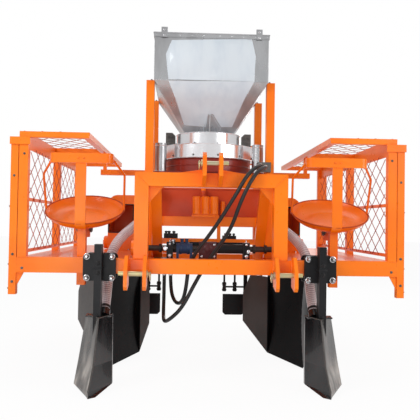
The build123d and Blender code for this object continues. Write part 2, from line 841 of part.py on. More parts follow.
def drive_gearbox():
    """Ribbed gear motor that stands on the upper cross bar."""
    y_high = FRONT_POST_Y
    y_low = y_high - GEARBOX_DEEP
    z_low = PANEL_BOTTOM
    body = block(
        GEARBOX_X - GEARBOX_WIDE / 2, GEARBOX_X + GEARBOX_WIDE / 2, y_low, y_high, z_low, z_low + GEARBOX_TALL
    )
    for offset in (-1, 0, 1):
        centre = GEARBOX_X + offset * (GEARBOX_WIDE / 2 - RIB_RADIUS)
        body += rod_z(centre, y_low, z_low + EDGE_ROUND * 3, z_low + GEARBOX_TALL, RIB_RADIUS)
    stub_x = GEARBOX_X - RIB_RADIUS / 2
    stub_y = y_low + GEARBOX_DEEP / 2
    body += rod_z(stub_x, stub_y, z_low + GEARBOX_TALL, PANEL_TOP - EDGE_ROUND, SPRING_RADIUS)
    return [body]


def tension_spring():
    """Coil spring beside the gear motor and the flat strip below it."""
    spring_x = GEARBOX_X + GEARBOX_WIDE / 2 + SPRING_RADIUS * 2
    spring_y = FRONT_POST_Y - SPRING_RADIUS - SPRING_WIRE
    z_low = PANEL_BOTTOM + SPRING_WIRE
    core_top = z_low + SPRING_TALL + SPRING_WIRE * 4
    core = rod_z(spring_x, spring_y, PANEL_BOTTOM, core_top, SPRING_RADIUS - SPRING_WIRE)
    for turn in range(SPRING_TURNS):
        height = z_low + SPRING_WIRE + turn * SPRING_TALL / SPRING_TURNS
        core += rod_z(spring_x, spring_y, height, height + SPRING_WIRE * 2, SPRING_RADIUS)
    strip = block(
        spring_x - STRIP_WIDE * 1.5,
        spring_x - STRIP_WIDE / 2,
        FRONT_POST_Y - STRIP_THICK,
        FRONT_POST_Y,
        LOW_BAR_TOP - LOW_BAR_TALL,
        PANEL_BOTTOM - BAR_TALL,
    )
    return [core, strip]


def roof_frames():
    """Flat frames over the operators, with one cross bar between their ends."""
    roof_low = ROOF_TOP - ROOF_TALL
    frame = block(ROOF_INNER_X, ROOF_INNER_X + ROOF_BAR, CAGE_FRONT_Y, REAR_END_Y, roof_low, ROOF_TOP)
    frame += block(CAGE_OUTER_X - ROOF_BAR, CAGE_OUTER_X, CAGE_FRONT_Y, REAR_END_Y, roof_low, ROOF_TOP)
    for front in (CAGE_FRONT_Y, CAGE_MID_Y, REAR_END_Y - ROOF_BAR):
        frame += block(ROOF_INNER_X, CAGE_OUTER_X, front, front + ROOF_BAR, roof_low, ROOF_TOP)
    return both(frame)


def right_cage_posts():
    """Front, middle and rear post of the right-hand cage wall."""
    roof_low = ROOF_TOP - ROOF_TALL
    spans = (
        (CAGE_WALL_X, CAGE_OUTER_X, CAGE_FRONT_Y, CAGE_FRONT_Y + CORNER_POST_DEEP),
        (CAGE_WALL_X, CAGE_WALL_X + MID_POST, MID_POST_Y, MID_POST_Y + MID_POST),
        (CAGE_OUTER_X - REAR_POST_WIDE, CAGE_OUTER_X, REAR_END_Y - REAR_POST_DEEP, REAR_END_Y),
    )
    return [block(*span, DECK_Z, roof_low) for span in spans]


def cage_posts():
    """Posts of both cage walls."""
    return both(right_cage_posts())


def wall_rails():
    """Flat rails of the cage walls, between the posts."""
    rails = []
    for low, high in (
        (WALL_TOP_Z, ROOF_TOP - ROOF_TALL),
        (WALL_MID_Z - WALL_RAIL_TALL, WALL_MID_Z),
        (WALL_LOW_Z - WALL_RAIL_TALL, WALL_LOW_Z),
    ):
        rail = block(CAGE_WALL_X, CAGE_WALL_X + WALL_RAIL_THICK, CAGE_FRONT_Y, REAR_END_Y, low, high)
        for post in right_cage_posts():
            rail -= post
        rails.append(rail)
    return both(rails)


def outer_posts():
    """Deep outermost posts with their cap and foot, one on each side."""
    low = CAGE_OUTER_X + OUTER_POST_GAP
    rear = CAGE_FRONT_Y + OUTER_POST_DEEP
    post = block(low, OUTER_POST_X, CAGE_FRONT_Y, rear, OUTER_POST_FOOT, ROOF_TOP - ROOF_TALL)
    cap_top = ROOF_TOP - ROOF_TALL
    post += block(
        CAGE_WALL_X - EDGE_ROUND * 2,
        OUTER_POST_X + EDGE_ROUND,
        CAGE_FRONT_Y - CAP_THICK,
        CAGE_FRONT_Y,
        cap_top - CAP_TALL,
        cap_top,
    )
    beam_low = DECK_Z - CROSS_TALL
    post += block(DECK_HALF, low, CAGE_FRONT_Y, CAGE_FRONT_Y + OUTER_POST_DEEP, beam_low, DECK_Z)
    gusset = plate_xz(
        [
            (low + WELD_OVERLAP, beam_low),
            (low - FOOT_GUSSET_WIDE, beam_low),
            (low + WELD_OVERLAP, beam_low - FOOT_GUSSET_TALL),
        ],
        CAGE_FRONT_Y + GUSSET_PLATE,
        CAGE_FRONT_Y + GUSSET_PLATE * 2,
    )
    return both(post + gusset)


def strand_family(long_low, long_high, tall_low, tall_high, leaning):
    """Ends of the parallel strands of one direction in a rectangle."""
    slope = DIAMOND_TALL / DIAMOND_LONG * leaning
    rise = (tall_high - tall_low) / slope
    start = long_low - max(rise, 0)
    strands = []
    at = start + DIAMOND_LONG / 2
    while at < long_high - min(rise, 0):
        low = at
        high = at + rise
        z_low, z_high = tall_low, tall_high
        if low < long_low:
            z_low = tall_low + (long_low - low) * slope
            low = long_low
        if low > long_high:
            z_low = tall_low + (long_high - low) * slope
            low = long_high
        if high > long_high:
            z_high = tall_low + (long_high - at) * slope
            high = long_high
        if high < long_low:
            z_high = tall_low + (long_low - at) * slope
            high = long_low
        if z_high - z_low > DIAMOND_TALL / 2:
            strands.append((low, z_low, high, z_high))
        at += DIAMOND_LONG
    return strands


def strand(start, end, normal):
    """Flat strand between two points, its thickness along `normal`."""
    line = Vector(*end) - Vector(*start)
    place = Plane(origin=(Vector(*start) + Vector(*end)) * 0.5, x_dir=line, z_dir=normal)
    return place * Box(line.length, STRAND_WIDE, STRAND_THICK)


def mesh(leaning, layer):
    """Strands of one direction in the outer walls and roofs of both cages."""
    near = CAGE_FRONT_Y + CORNER_POST_DEEP
    far = REAR_END_Y - REAR_POST_DEEP - STRAND_WIDE
    lap = WALL_RAIL_TALL / 2
    wall_x = CAGE_WALL_X - STRAND_THICK / 2 - layer * STRAND_THICK
    shapes = []
    for y_a, z_a, y_b, z_b in strand_family(near, far, WALL_LOW_Z - lap, WALL_TOP_Z + lap, leaning):
        shapes.append(strand((wall_x, y_a, z_a), (wall_x, y_b, z_b), (1, 0, 0)))
    roof_z = ROOF_TOP + STRAND_THICK / 2 + layer * STRAND_THICK
    lap = ROOF_BAR / 2
    front, rear = CAGE_FRONT_Y + lap, REAR_END_Y - lap
    rows = strand_family(front, rear, ROOF_INNER_X + lap, CAGE_OUTER_X - lap, leaning)
    for y_a, x_a, y_b, x_b in rows:
        shapes.append(strand((x_a, y_a, roof_z), (x_b, y_b, roof_z), (0, 0, 1)))
    return both(shapes)


def mesh_rising():
    return mesh(1, 0)


def mesh_falling():
    return mesh(-1, 1)


def side_ties():
    """Bars from the rear hopper posts to a strut under each cage roof."""
    low = POST_X + POST_SIZE / 2
    rear = REAR_POST_Y + POST_SIZE
    tie = block(low, SIDE_TIE_END + ROOF_BAR, REAR_POST_Y, rear, SIDE_TIE_Z, SIDE_TIE_Z + SIDE_TIE_TALL)
    strut = block(
        SIDE_TIE_END,
        SIDE_TIE_END + STRUT_SIZE,
        REAR_POST_Y + POST_SIZE - STRUT_SIZE,
        REAR_POST_Y + POST_SIZE,
        SIDE_TIE_Z + SIDE_TIE_TALL,
        ROOF_TOP - ROOF_TALL,
    )
    return both(tie + strut)


def seat_pan():
    """Round pressed pan, tipped down towards the backrest, and the space inside it."""
    flat = SEAT_FLAT_RADIUS
    shoulder = flat + (SEAT_RADIUS - flat) * SEAT_SHOULDER_OUT
    shoulder_z = SEAT_DEEP * (SEAT_SHOULDER_UP - 1)

    def half_section(inset):
        floor = inset - SEAT_DEEP
        middle = (shoulder - inset, 0, shoulder_z + inset / 2)
        curve = ThreePointArc((flat, 0, floor), middle, (SEAT_RADIUS - inset, 0, 0))
        edges = [
            Line((0, 0, floor), (flat, 0, floor)),
            curve,
            Line((SEAT_RADIUS - inset, 0, 0), (0, 0, 0)),
            Line((0, 0, 0), (0, 0, floor)),
        ]
        return make_face(edges)

    place = Pos(SEAT_X, SEAT_Y, SEAT_RIM_Z) * Rot(SEAT_TILT, 0, 0)
    whole = place * revolve(half_section(0), Axis.Z, 360)
    inside = place * revolve(half_section(SEAT_SHEET), Axis.Z, 360)
    return whole, inside


def seat_posts():
    """Post under each seat with the arm and riser that carry the pan."""
    low = SEAT_POST_X - SEAT_POST_SIZE / 2
    high = SEAT_POST_X + SEAT_POST_SIZE / 2
    arm_low = SEAT_POST_TOP - SEAT_ARM_TALL
    riser = SEAT_Y - SEAT_RISER_LONG / 2
    post = block(low, high, SEAT_POST_Y, SEAT_POST_Y + SEAT_POST_SIZE, SEAT_POST_FOOT, arm_low)
    post += block(low, high, SEAT_POST_Y, riser + SEAT_RISER_LONG, arm_low, SEAT_POST_TOP)
    post += block(low, high, riser, riser + SEAT_RISER_LONG, SEAT_POST_TOP, SEAT_RIM_Z - SEAT_DEEP / 2)
    foot = block(low, high, FRONT_CROSS_Y + CROSS_DEEP, SEAT_POST_Y, DECK_Z - CROSS_TALL, DECK_Z)
    pan, _ = seat_pan()
    return both(post - pan + foot)


def seat_back():
    """Curved upright bar and bent backrest band of the right-hand seat."""
    under = SEAT_POST_TOP + BACK_BAR_THICK / 2
    front_y = SEAT_Y - SEAT_RADIUS * cos(radians(SEAT_TILT)) - BACK_BAR_THICK / 2 + SEAT_RIM_LAP
    band_z = BACK_BAND_BOTTOM + BACK_BAND_TALL / 2
    bar = bent_bar(
        [
            (BACK_BAR_X, SEAT_POST_Y + SEAT_POST_SIZE, under),
            (BACK_BAR_X, front_y, under),
            (BACK_BAR_X, front_y, BACK_BAND_BOTTOM + BACK_BAND_TALL),
        ],
        BACK_BAR_WIDE,
        BACK_BAR_THICK,
        [SEAT_POST_SIZE],
        (1, 0, 0),
    )
    band_y = front_y - BACK_BAR_THICK / 2
    band = bent_bar(
        [
            (BACK_BAR_X - BACK_BAND_HALF, band_y + BACK_BAND_BEND, band_z),
            (BACK_BAR_X - BACK_BAND_HALF, band_y, band_z),
            (BACK_BAR_X + BACK_BAND_HALF, band_y, band_z),
            (BACK_BAR_X + BACK_BAND_HALF, band_y + BACK_BAND_BEND, band_z),
        ],
        BACK_BAND_TALL,
        BACK_BAR_THICK,
        [BACK_BAND_BEND / 2, BACK_BAND_BEND / 2],
        (0, 0, 1),
    )
    return bar + band


def arm_rods():
    """Guard rods at both sides of the right-hand seat, from the pan's rim up to the backrest band."""
    band_y = SEAT_Y - SEAT_RADIUS * cos(radians(SEAT_TILT)) + BACK_BAND_BEND - BACK_BAR_THICK + SEAT_RIM_LAP
    band_z = BACK_BAND_BOTTOM + BACK_BAND_TALL / 2
    rods = []
    for side in (-1, 1):
        rim_x = SEAT_X + side * (SEAT_RADIUS - SEAT_SHEET / 2)
        points = [
            (rim_x, SEAT_Y, SEAT_RIM_Z - ARM_ROD),
            (rim_x + side * ARM_ROD, SEAT_Y - ARM_KNEE, band_z - ARM_DROP),
            (BACK_BAR_X + side * BACK_BAND_HALF, band_y, band_z),
        ]
        rods.append(bent_rod(points, ARM_ROD, [ARM_ROD * 4]))
    return rods


def seats():
    """Pan seats with their backrests and guard rods."""
    pan, inside = seat_pan()
    seat = pan
    for piece in [seat_back(), *arm_rods()]:
        seat += piece
    return both(seat - inside)


def clamp_plates():
    """Front and rear clamp plates with their four bolts, one pair on each row."""
    low = ROW_X - CLAMP_WIDE / 2
    high = ROW_X + CLAMP_WIDE / 2
    plates = []
    for front in (-CLAMP_THICK, BEAM_SIZE):
        plate = block(low, high, front, front + CLAMP_THICK, CLAMP_BOTTOM, CLAMP_TOP)
        plates.append(fillet(plate.edges().filter_by(Axis.Y), CLAMP_ROUND))
    whole = plates[0] + plates[1]
    for x_at in (low + CLAMP_BOLT_INSET, high - CLAMP_BOLT_INSET):
        for z_at in (CLAMP_BOTTOM + CLAMP_BOLT_INSET - TRACK_GAP, CLAMP_TOP - CLAMP_BOLT_INSET + TRACK_GAP):
            front = -CLAMP_THICK - NUT_TALL * 1.5
            rear = BEAM_SIZE + CLAMP_THICK + NUT_TALL
            whole += rod_y(x_at, front, rear, z_at, CLAMP_BOLT_RADIUS)
            for y_low in (-CLAMP_THICK - NUT_TALL, BEAM_SIZE + CLAMP_THICK):
                nut = extrude(Plane.XZ * RegularPolygon(NUT_RADIUS, 6), NUT_TALL, dir=(0, 1, 0))
                whole += Pos(x_at, y_low, z_at) * nut
    return both(whole)


def shanks():
    """Bars that carry the share boots in front of the clamp plates."""
    low = ROW_X - SHANK_WIDE / 2
    high = ROW_X + SHANK_WIDE / 2
    rear = -CLAMP_THICK
    bar = block(low, high, rear - SHANK_DEEP, rear, SHANK_BOTTOM, SHANK_TOP)
    return both(bar)


def boot_section(z_at, nose_x, nose, rear, inwards, outwards):
    """Section of a share boot: pointed in front, square behind."""
    shoulder = nose + (rear - nose) * BOOT_SHOULDER
    outline = Polyline(
        (ROW_X + nose_x, nose, z_at),
        (ROW_X + outwards, shoulder, z_at),
        (ROW_X + outwards, rear, z_at),
        (ROW_X - inwards, rear, z_at),
        (ROW_X - inwards, shoulder, z_at),
        close=True,
    )
    return make_face(outline)


def share_boots():
    """Hollow pointed boots that open the fertiliser slot."""
    outer = loft([boot_section(*row) for row in BOOT_SECTIONS], ruled=True)
    low_z, low_x, low_nose, low_rear, low_in, low_out = BOOT_SECTIONS[-1]
    tip_half = BOOT_TIP_DROP / 2
    point = boot_section(0, low_x, low_nose - BOOT_WALL, low_nose + BOOT_TIP_DROP, tip_half, BOOT_TIP_DROP)
    tip = loft([boot_section(*BOOT_SECTIONS[-1]), point], ruled=True)
    inner = loft(
        [
            boot_section(
                z,
                x,
                nose + BOOT_NOSE_WALL,
                rear - BOOT_WALL,
                reach_in - BOOT_WALL,
                reach_out - BOOT_WALL,
            )
            for z, x, nose, rear, reach_in, reach_out in BOOT_SECTIONS
        ],
        ruled=True,
    )
    low = ROW_X - SHANK_WIDE / 2
    high = ROW_X + SHANK_WIDE / 2
    boot = outer + tip - inner
    top_z, _, _, top_rear, top_in, top_out = BOOT_SECTIONS[0]
    boot += block(
        ROW_X - top_in + BOOT_WALL / 2,
        ROW_X + top_out - BOOT_WALL / 2,
        -CLAMP_THICK,
        top_rear - BOOT_WALL / 2,
        top_z - BOOT_WALL,
        top_z,
    )
    mouth = Vector(*FEED_HOSE_ROUTE[-1])
    inward = (mouth - Vector(*FEED_HOSE_ROUTE[-2])).normalized()
    socket = Plane(origin=mouth, z_dir=inward) * Pos(0, 0, SOCKET_LENGTH / 2) * Cylinder(
        SOCKET_RADIUS, SOCKET_LENGTH
    )
    boot += socket
    boot -= block(low, high, -CLAMP_THICK - SHANK_DEEP, -CLAMP_THICK, SHANK_BOTTOM, SHANK_TOP)
    return both(boot)


def wing_line(start_x, start_y, end_x, end_y):
    """Unit vector along a wing, the vector that faces forward from it, and its length."""
    along = Vector(end_x - start_x, end_y - start_y, 0)
    length = along.length
    along = along * (1 / length)
    return along, Vector(0, 0, 1).cross(along), length


def across_row(shape):
    """Mirror image across the centre plane of the right-hand row."""
    return Pos(2 * ROW_X, 0, 0) * mirror(shape, about=Plane.YZ)


def furrow_openers():
    """Two bowed mouldboards meeting at a nose on each row, with the web and leg that hold them."""
    along, facing, length = wing_line(ROW_X, OPENER_NOSE_Y, OPENER_WING_X, OPENER_WING_Y)
    start = Plane(origin=(ROW_X, OPENER_NOSE_Y, OPENER_BOTTOM), x_dir=facing, z_dir=along)
    tall = OPENER_TOP - OPENER_BOTTOM
    back = -OPENER_PLATE
    edges = [
        ThreePointArc((0, 0), (-OPENER_BOW, tall / 2), (0, tall)),
        Line((0, tall), (back, tall)),
        ThreePointArc((back, tall), (back - OPENER_BOW, tall / 2), (back, 0)),
        Line((back, 0), (0, 0)),
    ]
    plate = extrude(start * make_face(edges), length, dir=along)
    behind = back - OPENER_BOW
    rib_face = make_face(Polyline((0, 0), (0, tall), (behind, tall), (behind, 0), close=True))
    plate += Pos(*(along * (length - OPENER_PLATE))) * extrude(start * rib_face, OPENER_PLATE, dir=along)
    plate -= block(ROW_X, ROW_X * 2, 0, REAR_END_Y, 0, DECK_Z)
    plate += across_row(plate)
    spread = (WEB_Y - OPENER_NOSE_Y) * (ROW_X - OPENER_WING_X) / (OPENER_WING_Y - OPENER_NOSE_Y)
    half = spread - OPENER_BOW - OPENER_PLATE / 2
    plate += block(ROW_X - half, ROW_X + half, WEB_Y, WEB_Y + OPENER_PLATE, WEB_BOTTOM, WEB_TOP)
    low = ROW_X - LEG_WIDE / 2
    high = ROW_X + LEG_WIDE / 2
    plate += block(low, high, LEG_Y, WEB_Y, LEG_BOTTOM, DECK_Z - RAIL_TALL)
    return both(plate)


def wing_tail(share):
    """Flat extension behind the inner wing of the right-hand row, as long as this share of the full tail."""
    along, facing, length = wing_line(OPENER_WING_X, OPENER_WING_Y, OPENER_TAIL_X, OPENER_TAIL_Y)
    start = Plane(origin=(OPENER_WING_X, OPENER_WING_Y, 0), x_dir=along, z_dir=facing * -1)
    end = length * share
    outline = [
        (0, OPENER_BOTTOM),
        (end, OPENER_TAIL_LOW),
        (end, OPENER_TAIL_TOP),
        (end * OPENER_TAIL_SHOULDER, OPENER_TAIL_RISE),
        (0, OPENER_TAIL_RISE),
    ]
    sign = 1 if start.y_dir.Z > 0 else -1
    face = start * make_face(Polyline(*[(u, v * sign) for u, v in outline], close=True))
    return extrude(face, OPENER_PLATE, dir=facing * -1)


def opener_tails():
    """Wing extensions cut away towards the tail; the left row's inner one is set short."""
    full = wing_tail(1)
    outer = across_row(full)
    return [full, outer, mirror(outer, about=Plane.YZ), mirror(wing_tail(OPENER_SHORT_TAIL), about=Plane.YZ)]


def feed_boxes():
    """Open-fronted cane feed boxes with the chutes that drop the cuttings into the furrow."""

    def hood(margin, front, rear):
        half = FEED_HALF - margin
        low = DECK_Z + FLOOR_THICK
        body = block(ROW_X - half, ROW_X + half, front, rear, low, FEED_TOP - margin)
        corner = body.edges().filter_by(Axis.Y).sort_by(lambda edge: edge.center().X + edge.center().Z)[-1]
        return fillet(corner, FEED_ROUND - margin)

    def chute(margin):
        middle = (CHUTE_MOUTH_FRONT + CHUTE_MOUTH_REAR) / 2
        top_middle = (FEED_FRONT + FEED_REAR) / 2
        top = Pos(ROW_X, top_middle, CHUTE_TOP) * Rectangle(
            (FEED_HALF - margin) * 2, FEED_REAR - FEED_FRONT - margin * 2
        )
        mouth = Pos(ROW_X, middle, CHUTE_BOTTOM) * Rectangle(
            (CHUTE_MOUTH_HALF - margin) * 2, CHUTE_MOUTH_REAR - CHUTE_MOUTH_FRONT - margin * 2
        )
        return loft([top, mouth], ruled=True)

    sheet = FEED_SHEET
    low = ROW_X - FEED_HALF
    high = ROW_X + FEED_HALF
    floor = DECK_Z + FLOOR_THICK
    shell = hood(0, FEED_FRONT, FEED_REAR)
    shell += block(low, high, FEED_FRONT, FEED_REAR, CHUTE_TOP, floor) + chute(0)
    flange = block(
        low - FEED_FLANGE,
        high + FEED_FLANGE,
        FEED_FRONT - FEED_FLANGE,
        FEED_REAR + FEED_FLANGE,
        floor,
        floor + sheet,
    )
    shell += flange
    shell -= hood(sheet, FEED_FRONT + sheet, FEED_REAR - sheet)
    shell -= block(low + sheet, high - sheet, FEED_FRONT + sheet, FEED_REAR - sheet, CHUTE_TOP, floor)
    shell -= chute(sheet)
    shell -= block(
        low + sheet, high - sheet, FEED_FRONT, FEED_FRONT + sheet, FEED_LIP, FEED_TOP - FEED_ROUND
    )
    for y_at in (FRONT_ROLLER_Y, REAR_ROLLER_Y):
        shell -= rod_x(low, high, y_at, SHAFT_Z, SHAFT_RADIUS + SHAFT_CLEARANCE)
    return both(shell)


def bladed_drum(y_at):
    """Roller drum with straight blades along it, centred on the right-hand row."""
    low = ROW_X - ROLLER_LENGTH / 2
    high = ROW_X + ROLLER_LENGTH / 2
    drum = rod_x(low, high, y_at, SHAFT_Z, ROLLER_RADIUS)
    for blade in range(BLADE_COUNT):
        turn = 360 / BLADE_COUNT * blade
        strip = block(low, high, -BLADE_THICK / 2, BLADE_THICK / 2, 0, ROLLER_RADIUS + BLADE_TALL)
        drum += Pos(0, y_at, SHAFT_Z) * (Rot(turn, 0, 0) * strip)
    return drum


def front_roller():
    """Front cutter roller with its shaft, which reaches into the chain guard."""
    end = ROW_X + FEED_HALF + GEARCASE_THICK - SHAFT_END_GAP
    return bladed_drum(FRONT_ROLLER_Y) + rod_x(
        GUARD_LOW_X + SHAFT_END_GAP, end, FRONT_ROLLER_Y, SHAFT_Z, SHAFT_RADIUS
    )


def rear_roller():
    """Rear cutter roller with its shaft between the box wall and the gear case."""
    end = ROW_X + FEED_HALF + GEARCASE_THICK - SHAFT_END_GAP
    start = ROW_X - FEED_HALF
    return bladed_drum(REAR_ROLLER_Y) + rod_x(start, end, REAR_ROLLER_Y, SHAFT_Z, SHAFT_RADIUS)


def front_roller_right():
    return [front_roller()]


def front_roller_left():
    return [mirror(front_roller(), about=Plane.YZ)]


def rear_roller_right():
    return [rear_roller()]


def rear_roller_left():
    return [mirror(rear_roller(), about=Plane.YZ)]


def slot_case(x_low, x_high, y_low, y_high, radius, ends):
    """Round-ended case around the shafts, with a bore for each shaft."""
    case = block(x_low, x_high, y_low, y_high, SHAFT_Z - radius, SHAFT_Z + radius)
    case += rod_x(x_low, x_high, y_low, SHAFT_Z, radius) + rod_x(x_low, x_high, y_high, SHAFT_Z, radius)
    for y_at, bore_low, bore_high in ends:
        case -= rod_x(bore_low, bore_high, y_at, SHAFT_Z, SHAFT_RADIUS + SHAFT_CLEARANCE)
    return case


def gear_cases():
    """Gear cases on the outer walls of the feed boxes."""
    low = ROW_X + FEED_HALF
    high = low + GEARCASE_THICK
    bore_end = high - SHAFT_END_GAP + SHAFT_CLEARANCE
    ends = ((FRONT_ROLLER_Y, low, bore_end), (REAR_ROLLER_Y, low, bore_end))
    return both(slot_case(low, high, FRONT_ROLLER_Y, REAR_ROLLER_Y, GEARCASE_ROUND, ends))


def chain_guards():
    """Chain guards from the cross shaft back to the front rollers."""
    low = GUARD_LOW_X
    high = low + GUARD_THICK
    ends = (
        (DRIVE_Y, low, high - SHAFT_END_GAP + SHAFT_CLEARANCE),
        (FRONT_ROLLER_Y, low + SHAFT_END_GAP - SHAFT_CLEARANCE, high),
    )
    case = slot_case(low, high, DRIVE_Y, FRONT_ROLLER_Y, GUARD_RADIUS, ends)
    for y_at in (FRONT_CROSS_Y + CROSS_DEEP, MID_CROSS_Y):
        case += block(low, high, y_at, y_at + GUARD_FOOT, DECK_Z + FLOOR_THICK, SHAFT_Z)
    return both(case)


def cross_shaft():
    end = GUARD_LOW_X + GUARD_THICK - SHAFT_END_GAP
    return [rod_x(-end, end, DRIVE_Y, SHAFT_Z, SHAFT_RADIUS)]


def shaft_bore():
    """Running clearance round the cross shaft."""
    return rod_x(-GUARD_LOW_X, GUARD_LOW_X, DRIVE_Y, SHAFT_Z, SHAFT_RADIUS + SHAFT_CLEARANCE)


def drive_motor():
    low = MOTOR_CENTRE - MOTOR_LENGTH / 2
    high = MOTOR_CENTRE + MOTOR_LENGTH / 2
    body = rod_x(low, high, DRIVE_Y, SHAFT_Z, MOTOR_RADIUS)
    foot = MOTOR_RADIUS / 2
    body += block(low, low + foot, DRIVE_Y - MOTOR_RADIUS, DRIVE_Y + MOTOR_RADIUS, DECK_Z, SHAFT_Z)
    body += block(high - foot, high, DRIVE_Y - MOTOR_RADIUS, DRIVE_Y + MOTOR_RADIUS, DECK_Z, SHAFT_Z)
    return [body - shaft_bore()]


def gear_block():
    low = GEARBLOCK_CENTRE - GEARBLOCK_LENGTH / 2
    high = GEARBLOCK_CENTRE + GEARBLOCK_LENGTH / 2
    half = GEARBLOCK_DEEP / 2
    return [block(low, high, DRIVE_Y - half, DRIVE_Y + half, DECK_Z, GEARBLOCK_TOP) - shaft_bore()]


def shaft_bearings():
    """Pillow blocks of the cross shaft and the sleeve beside the gear block."""
    half = BEARING_DEEP / 2
    pieces = []
    for centre in BEARING_CENTRES:
        low = centre - BEARING_WIDE / 2
        pieces.append(
            block(low, low + BEARING_WIDE, DRIVE_Y - half, DRIVE_Y + half, DECK_Z, BEARING_TOP) - shaft_bore()
        )
    sleeve = rod_x(SLEEVE_START, BEARING_CENTRES[1], DRIVE_Y, SHAFT_Z, SLEEVE_RADIUS) - shaft_bore()
    pieces[1] += sleeve
    return pieces


def press_wheel():
    half = WHEEL_WIDE / 2
    hub = WHEEL_HUB_WIDE / 2
    wheel = rod_x(ROW_X - half, ROW_X + half, WHEEL_Y, WHEEL_RADIUS, WHEEL_RADIUS)
    wheel -= rod_x(ROW_X - half, ROW_X + half, WHEEL_Y, WHEEL_RADIUS, WHEEL_RADIUS - WHEEL_RIM)
    wheel += rod_x(
        ROW_X - WHEEL_DISC / 2, ROW_X + WHEEL_DISC / 2, WHEEL_Y, WHEEL_RADIUS, WHEEL_RADIUS - WHEEL_RIM / 2
    )
    wheel += rod_x(ROW_X - hub, ROW_X + hub, WHEEL_Y, WHEEL_RADIUS, WHEEL_HUB_RADIUS)
    return wheel - rod_x(ROW_X - hub, ROW_X + hub, WHEEL_Y, WHEEL_RADIUS, AXLE_RADIUS + AXLE_CLEARANCE)


def press_wheel_right():
    return [press_wheel()]


def press_wheel_left():
    return [mirror(press_wheel(), about=Plane.YZ)]


def wheel_arms():
    """Forks that hold the press wheels, each with its axle and upper tie."""
    top = DECK_Z - CROSS_TALL
    outline = [
        (ARM_TOP_Y - ARM_ROUND, top),
        (ARM_TOP_Y + ARM_ROUND, top),
        (ARM_TOP_Y + ARM_ROUND, top - ARM_ROUND),
        (WHEEL_Y + ARM_ROUND, WHEEL_RADIUS - ARM_ROUND),
        (WHEEL_Y - ARM_ROUND, WHEEL_RADIUS - ARM_ROUND),
        (WHEEL_Y - ARM_ROUND, WHEEL_RADIUS + ARM_ROUND),
    ]
    offset = WHEEL_WIDE / 2 + WHEEL_SIDE_GAP
    fork = rod_x(ROW_X - offset, ROW_X + offset, WHEEL_Y, WHEEL_RADIUS, AXLE_RADIUS)
    tie_y = (ARM_TOP_Y * 3 + WHEEL_Y) / 4
    tie_z = (top * 3 + WHEEL_RADIUS) / 4
    fork += rod_x(ROW_X - offset, ROW_X + offset, tie_y, tie_z, ARM_TIE_RADIUS)
    fork += plate_yz(outline, ROW_X + offset, ROW_X + offset + ARM_THICK)
    fork += plate_yz(outline, ROW_X - offset - ARM_THICK, ROW_X - offset)
    return both(fork)


def covering_plates():
    """Soil covering plates under the tool bar, each on a stem with two clamp studs."""
    pieces = []
    top = DECK_Z - CROSS_TALL
    for centre, front in COVER_TABLE:
        side = 1 if centre > 0 else -1
        inner = centre - side * COVER_HALF
        outer = centre + side * COVER_HALF
        cut = side * COVER_CHAMFER
        plate = plate_xz(
            [
                (inner, COVER_TOP),
                (inner, COVER_BOTTOM + COVER_CHAMFER / 2),
                (inner + cut / 2, COVER_BOTTOM),
                (outer - cut * 2, COVER_BOTTOM),
                (outer, COVER_BOTTOM + COVER_CHAMFER),
                (outer, COVER_TOP),
            ],
            front,
            front + COVER_THICK,
        )
        stem_x = centre + side * STUD_SPACING / 2
        plate += block(
            stem_x,
            stem_x + COVER_STEM,
            front + COVER_THICK,
            front + COVER_STEM,
            COVER_BOTTOM + cut * side,
            top,
        )
        low = min(inner, stem_x)
        high = max(inner, stem_x + COVER_STEM)
        strap_y = front + COVER_THICK + COVER_STEM / 2
        plate += block(low, high, front + COVER_THICK, front + COVER_STEM, STRAP_Z, STRAP_Z + STRAP_THICK)
        for stud_x in (inner + side * STUD_RADIUS, inner + side * (STUD_RADIUS + STUD_SPACING * 0.8)):
            plate += rod_z(stud_x, strap_y, STRAP_Z - NUT_TALL, top, STUD_RADIUS * 0.6)
            nut = extrude(RegularPolygon(NUT_RADIUS, 6), NUT_TALL)
            plate += Pos(stud_x, strap_y, STRAP_Z - NUT_TALL) * nut
            plate += Pos(stud_x, strap_y, STRAP_Z + STRAP_THICK) * nut
        pieces.append(plate)
    return pieces


def bend_radii(name, points, hose_radius):
    """Radius of each rounded corner, from the shorter of its two straight runs."""
    radii = []
    for before, corner, after in zip(points, points[1:], points[2:]):
        first = Vector(*corner) - Vector(*before)
        second = Vector(*after) - Vector(*corner)
        half_turn = radians(first.get_angle(second)) / 2
        radii.append(BEND_SHARE * min(first.length, second.length) / tan(half_turn))
    print(name, "bend radii", [round(radius) for radius in radii], "hose diameter", hose_radius * 2)
    return radii


def hose(name, points, hose_radius):
    path = FilletPolyline(*points, radius=bend_radii(name, points, hose_radius))
    start = Plane(origin=path @ 0, z_dir=path % 0)
    return sweep(start * Circle(hose_radius), path=path)


def feed_hose_right():
    return [hose("feed_hose_right", FEED_HOSE_ROUTE, FEED_HOSE_RADIUS)]


def feed_hose_left():
    return [mirror(feed_hose_right()[0], about=Plane.YZ)]


def oil_hose_first():
    return [hose("oil_hose_first", OIL_HOSE_FIRST, OIL_HOSE_RADIUS)]


def oil_hose_second():
    return [hose("oil_hose_second", OIL_HOSE_SECOND, OIL_HOSE_RADIUS)]


def hose_bulkhead():
    """Block on the right front post, where both oil hoses start."""
    first = OIL_HOSE_FIRST[0]
    second = OIL_HOSE_SECOND[0]
    half = BULKHEAD_TALL / 2
    middle = (first[2] + second[2]) / 2
    return [
        block(first[0] - PORT_RADIUS, POST_X, first[1], FRONT_POST_Y, middle - half, middle + half)
    ]


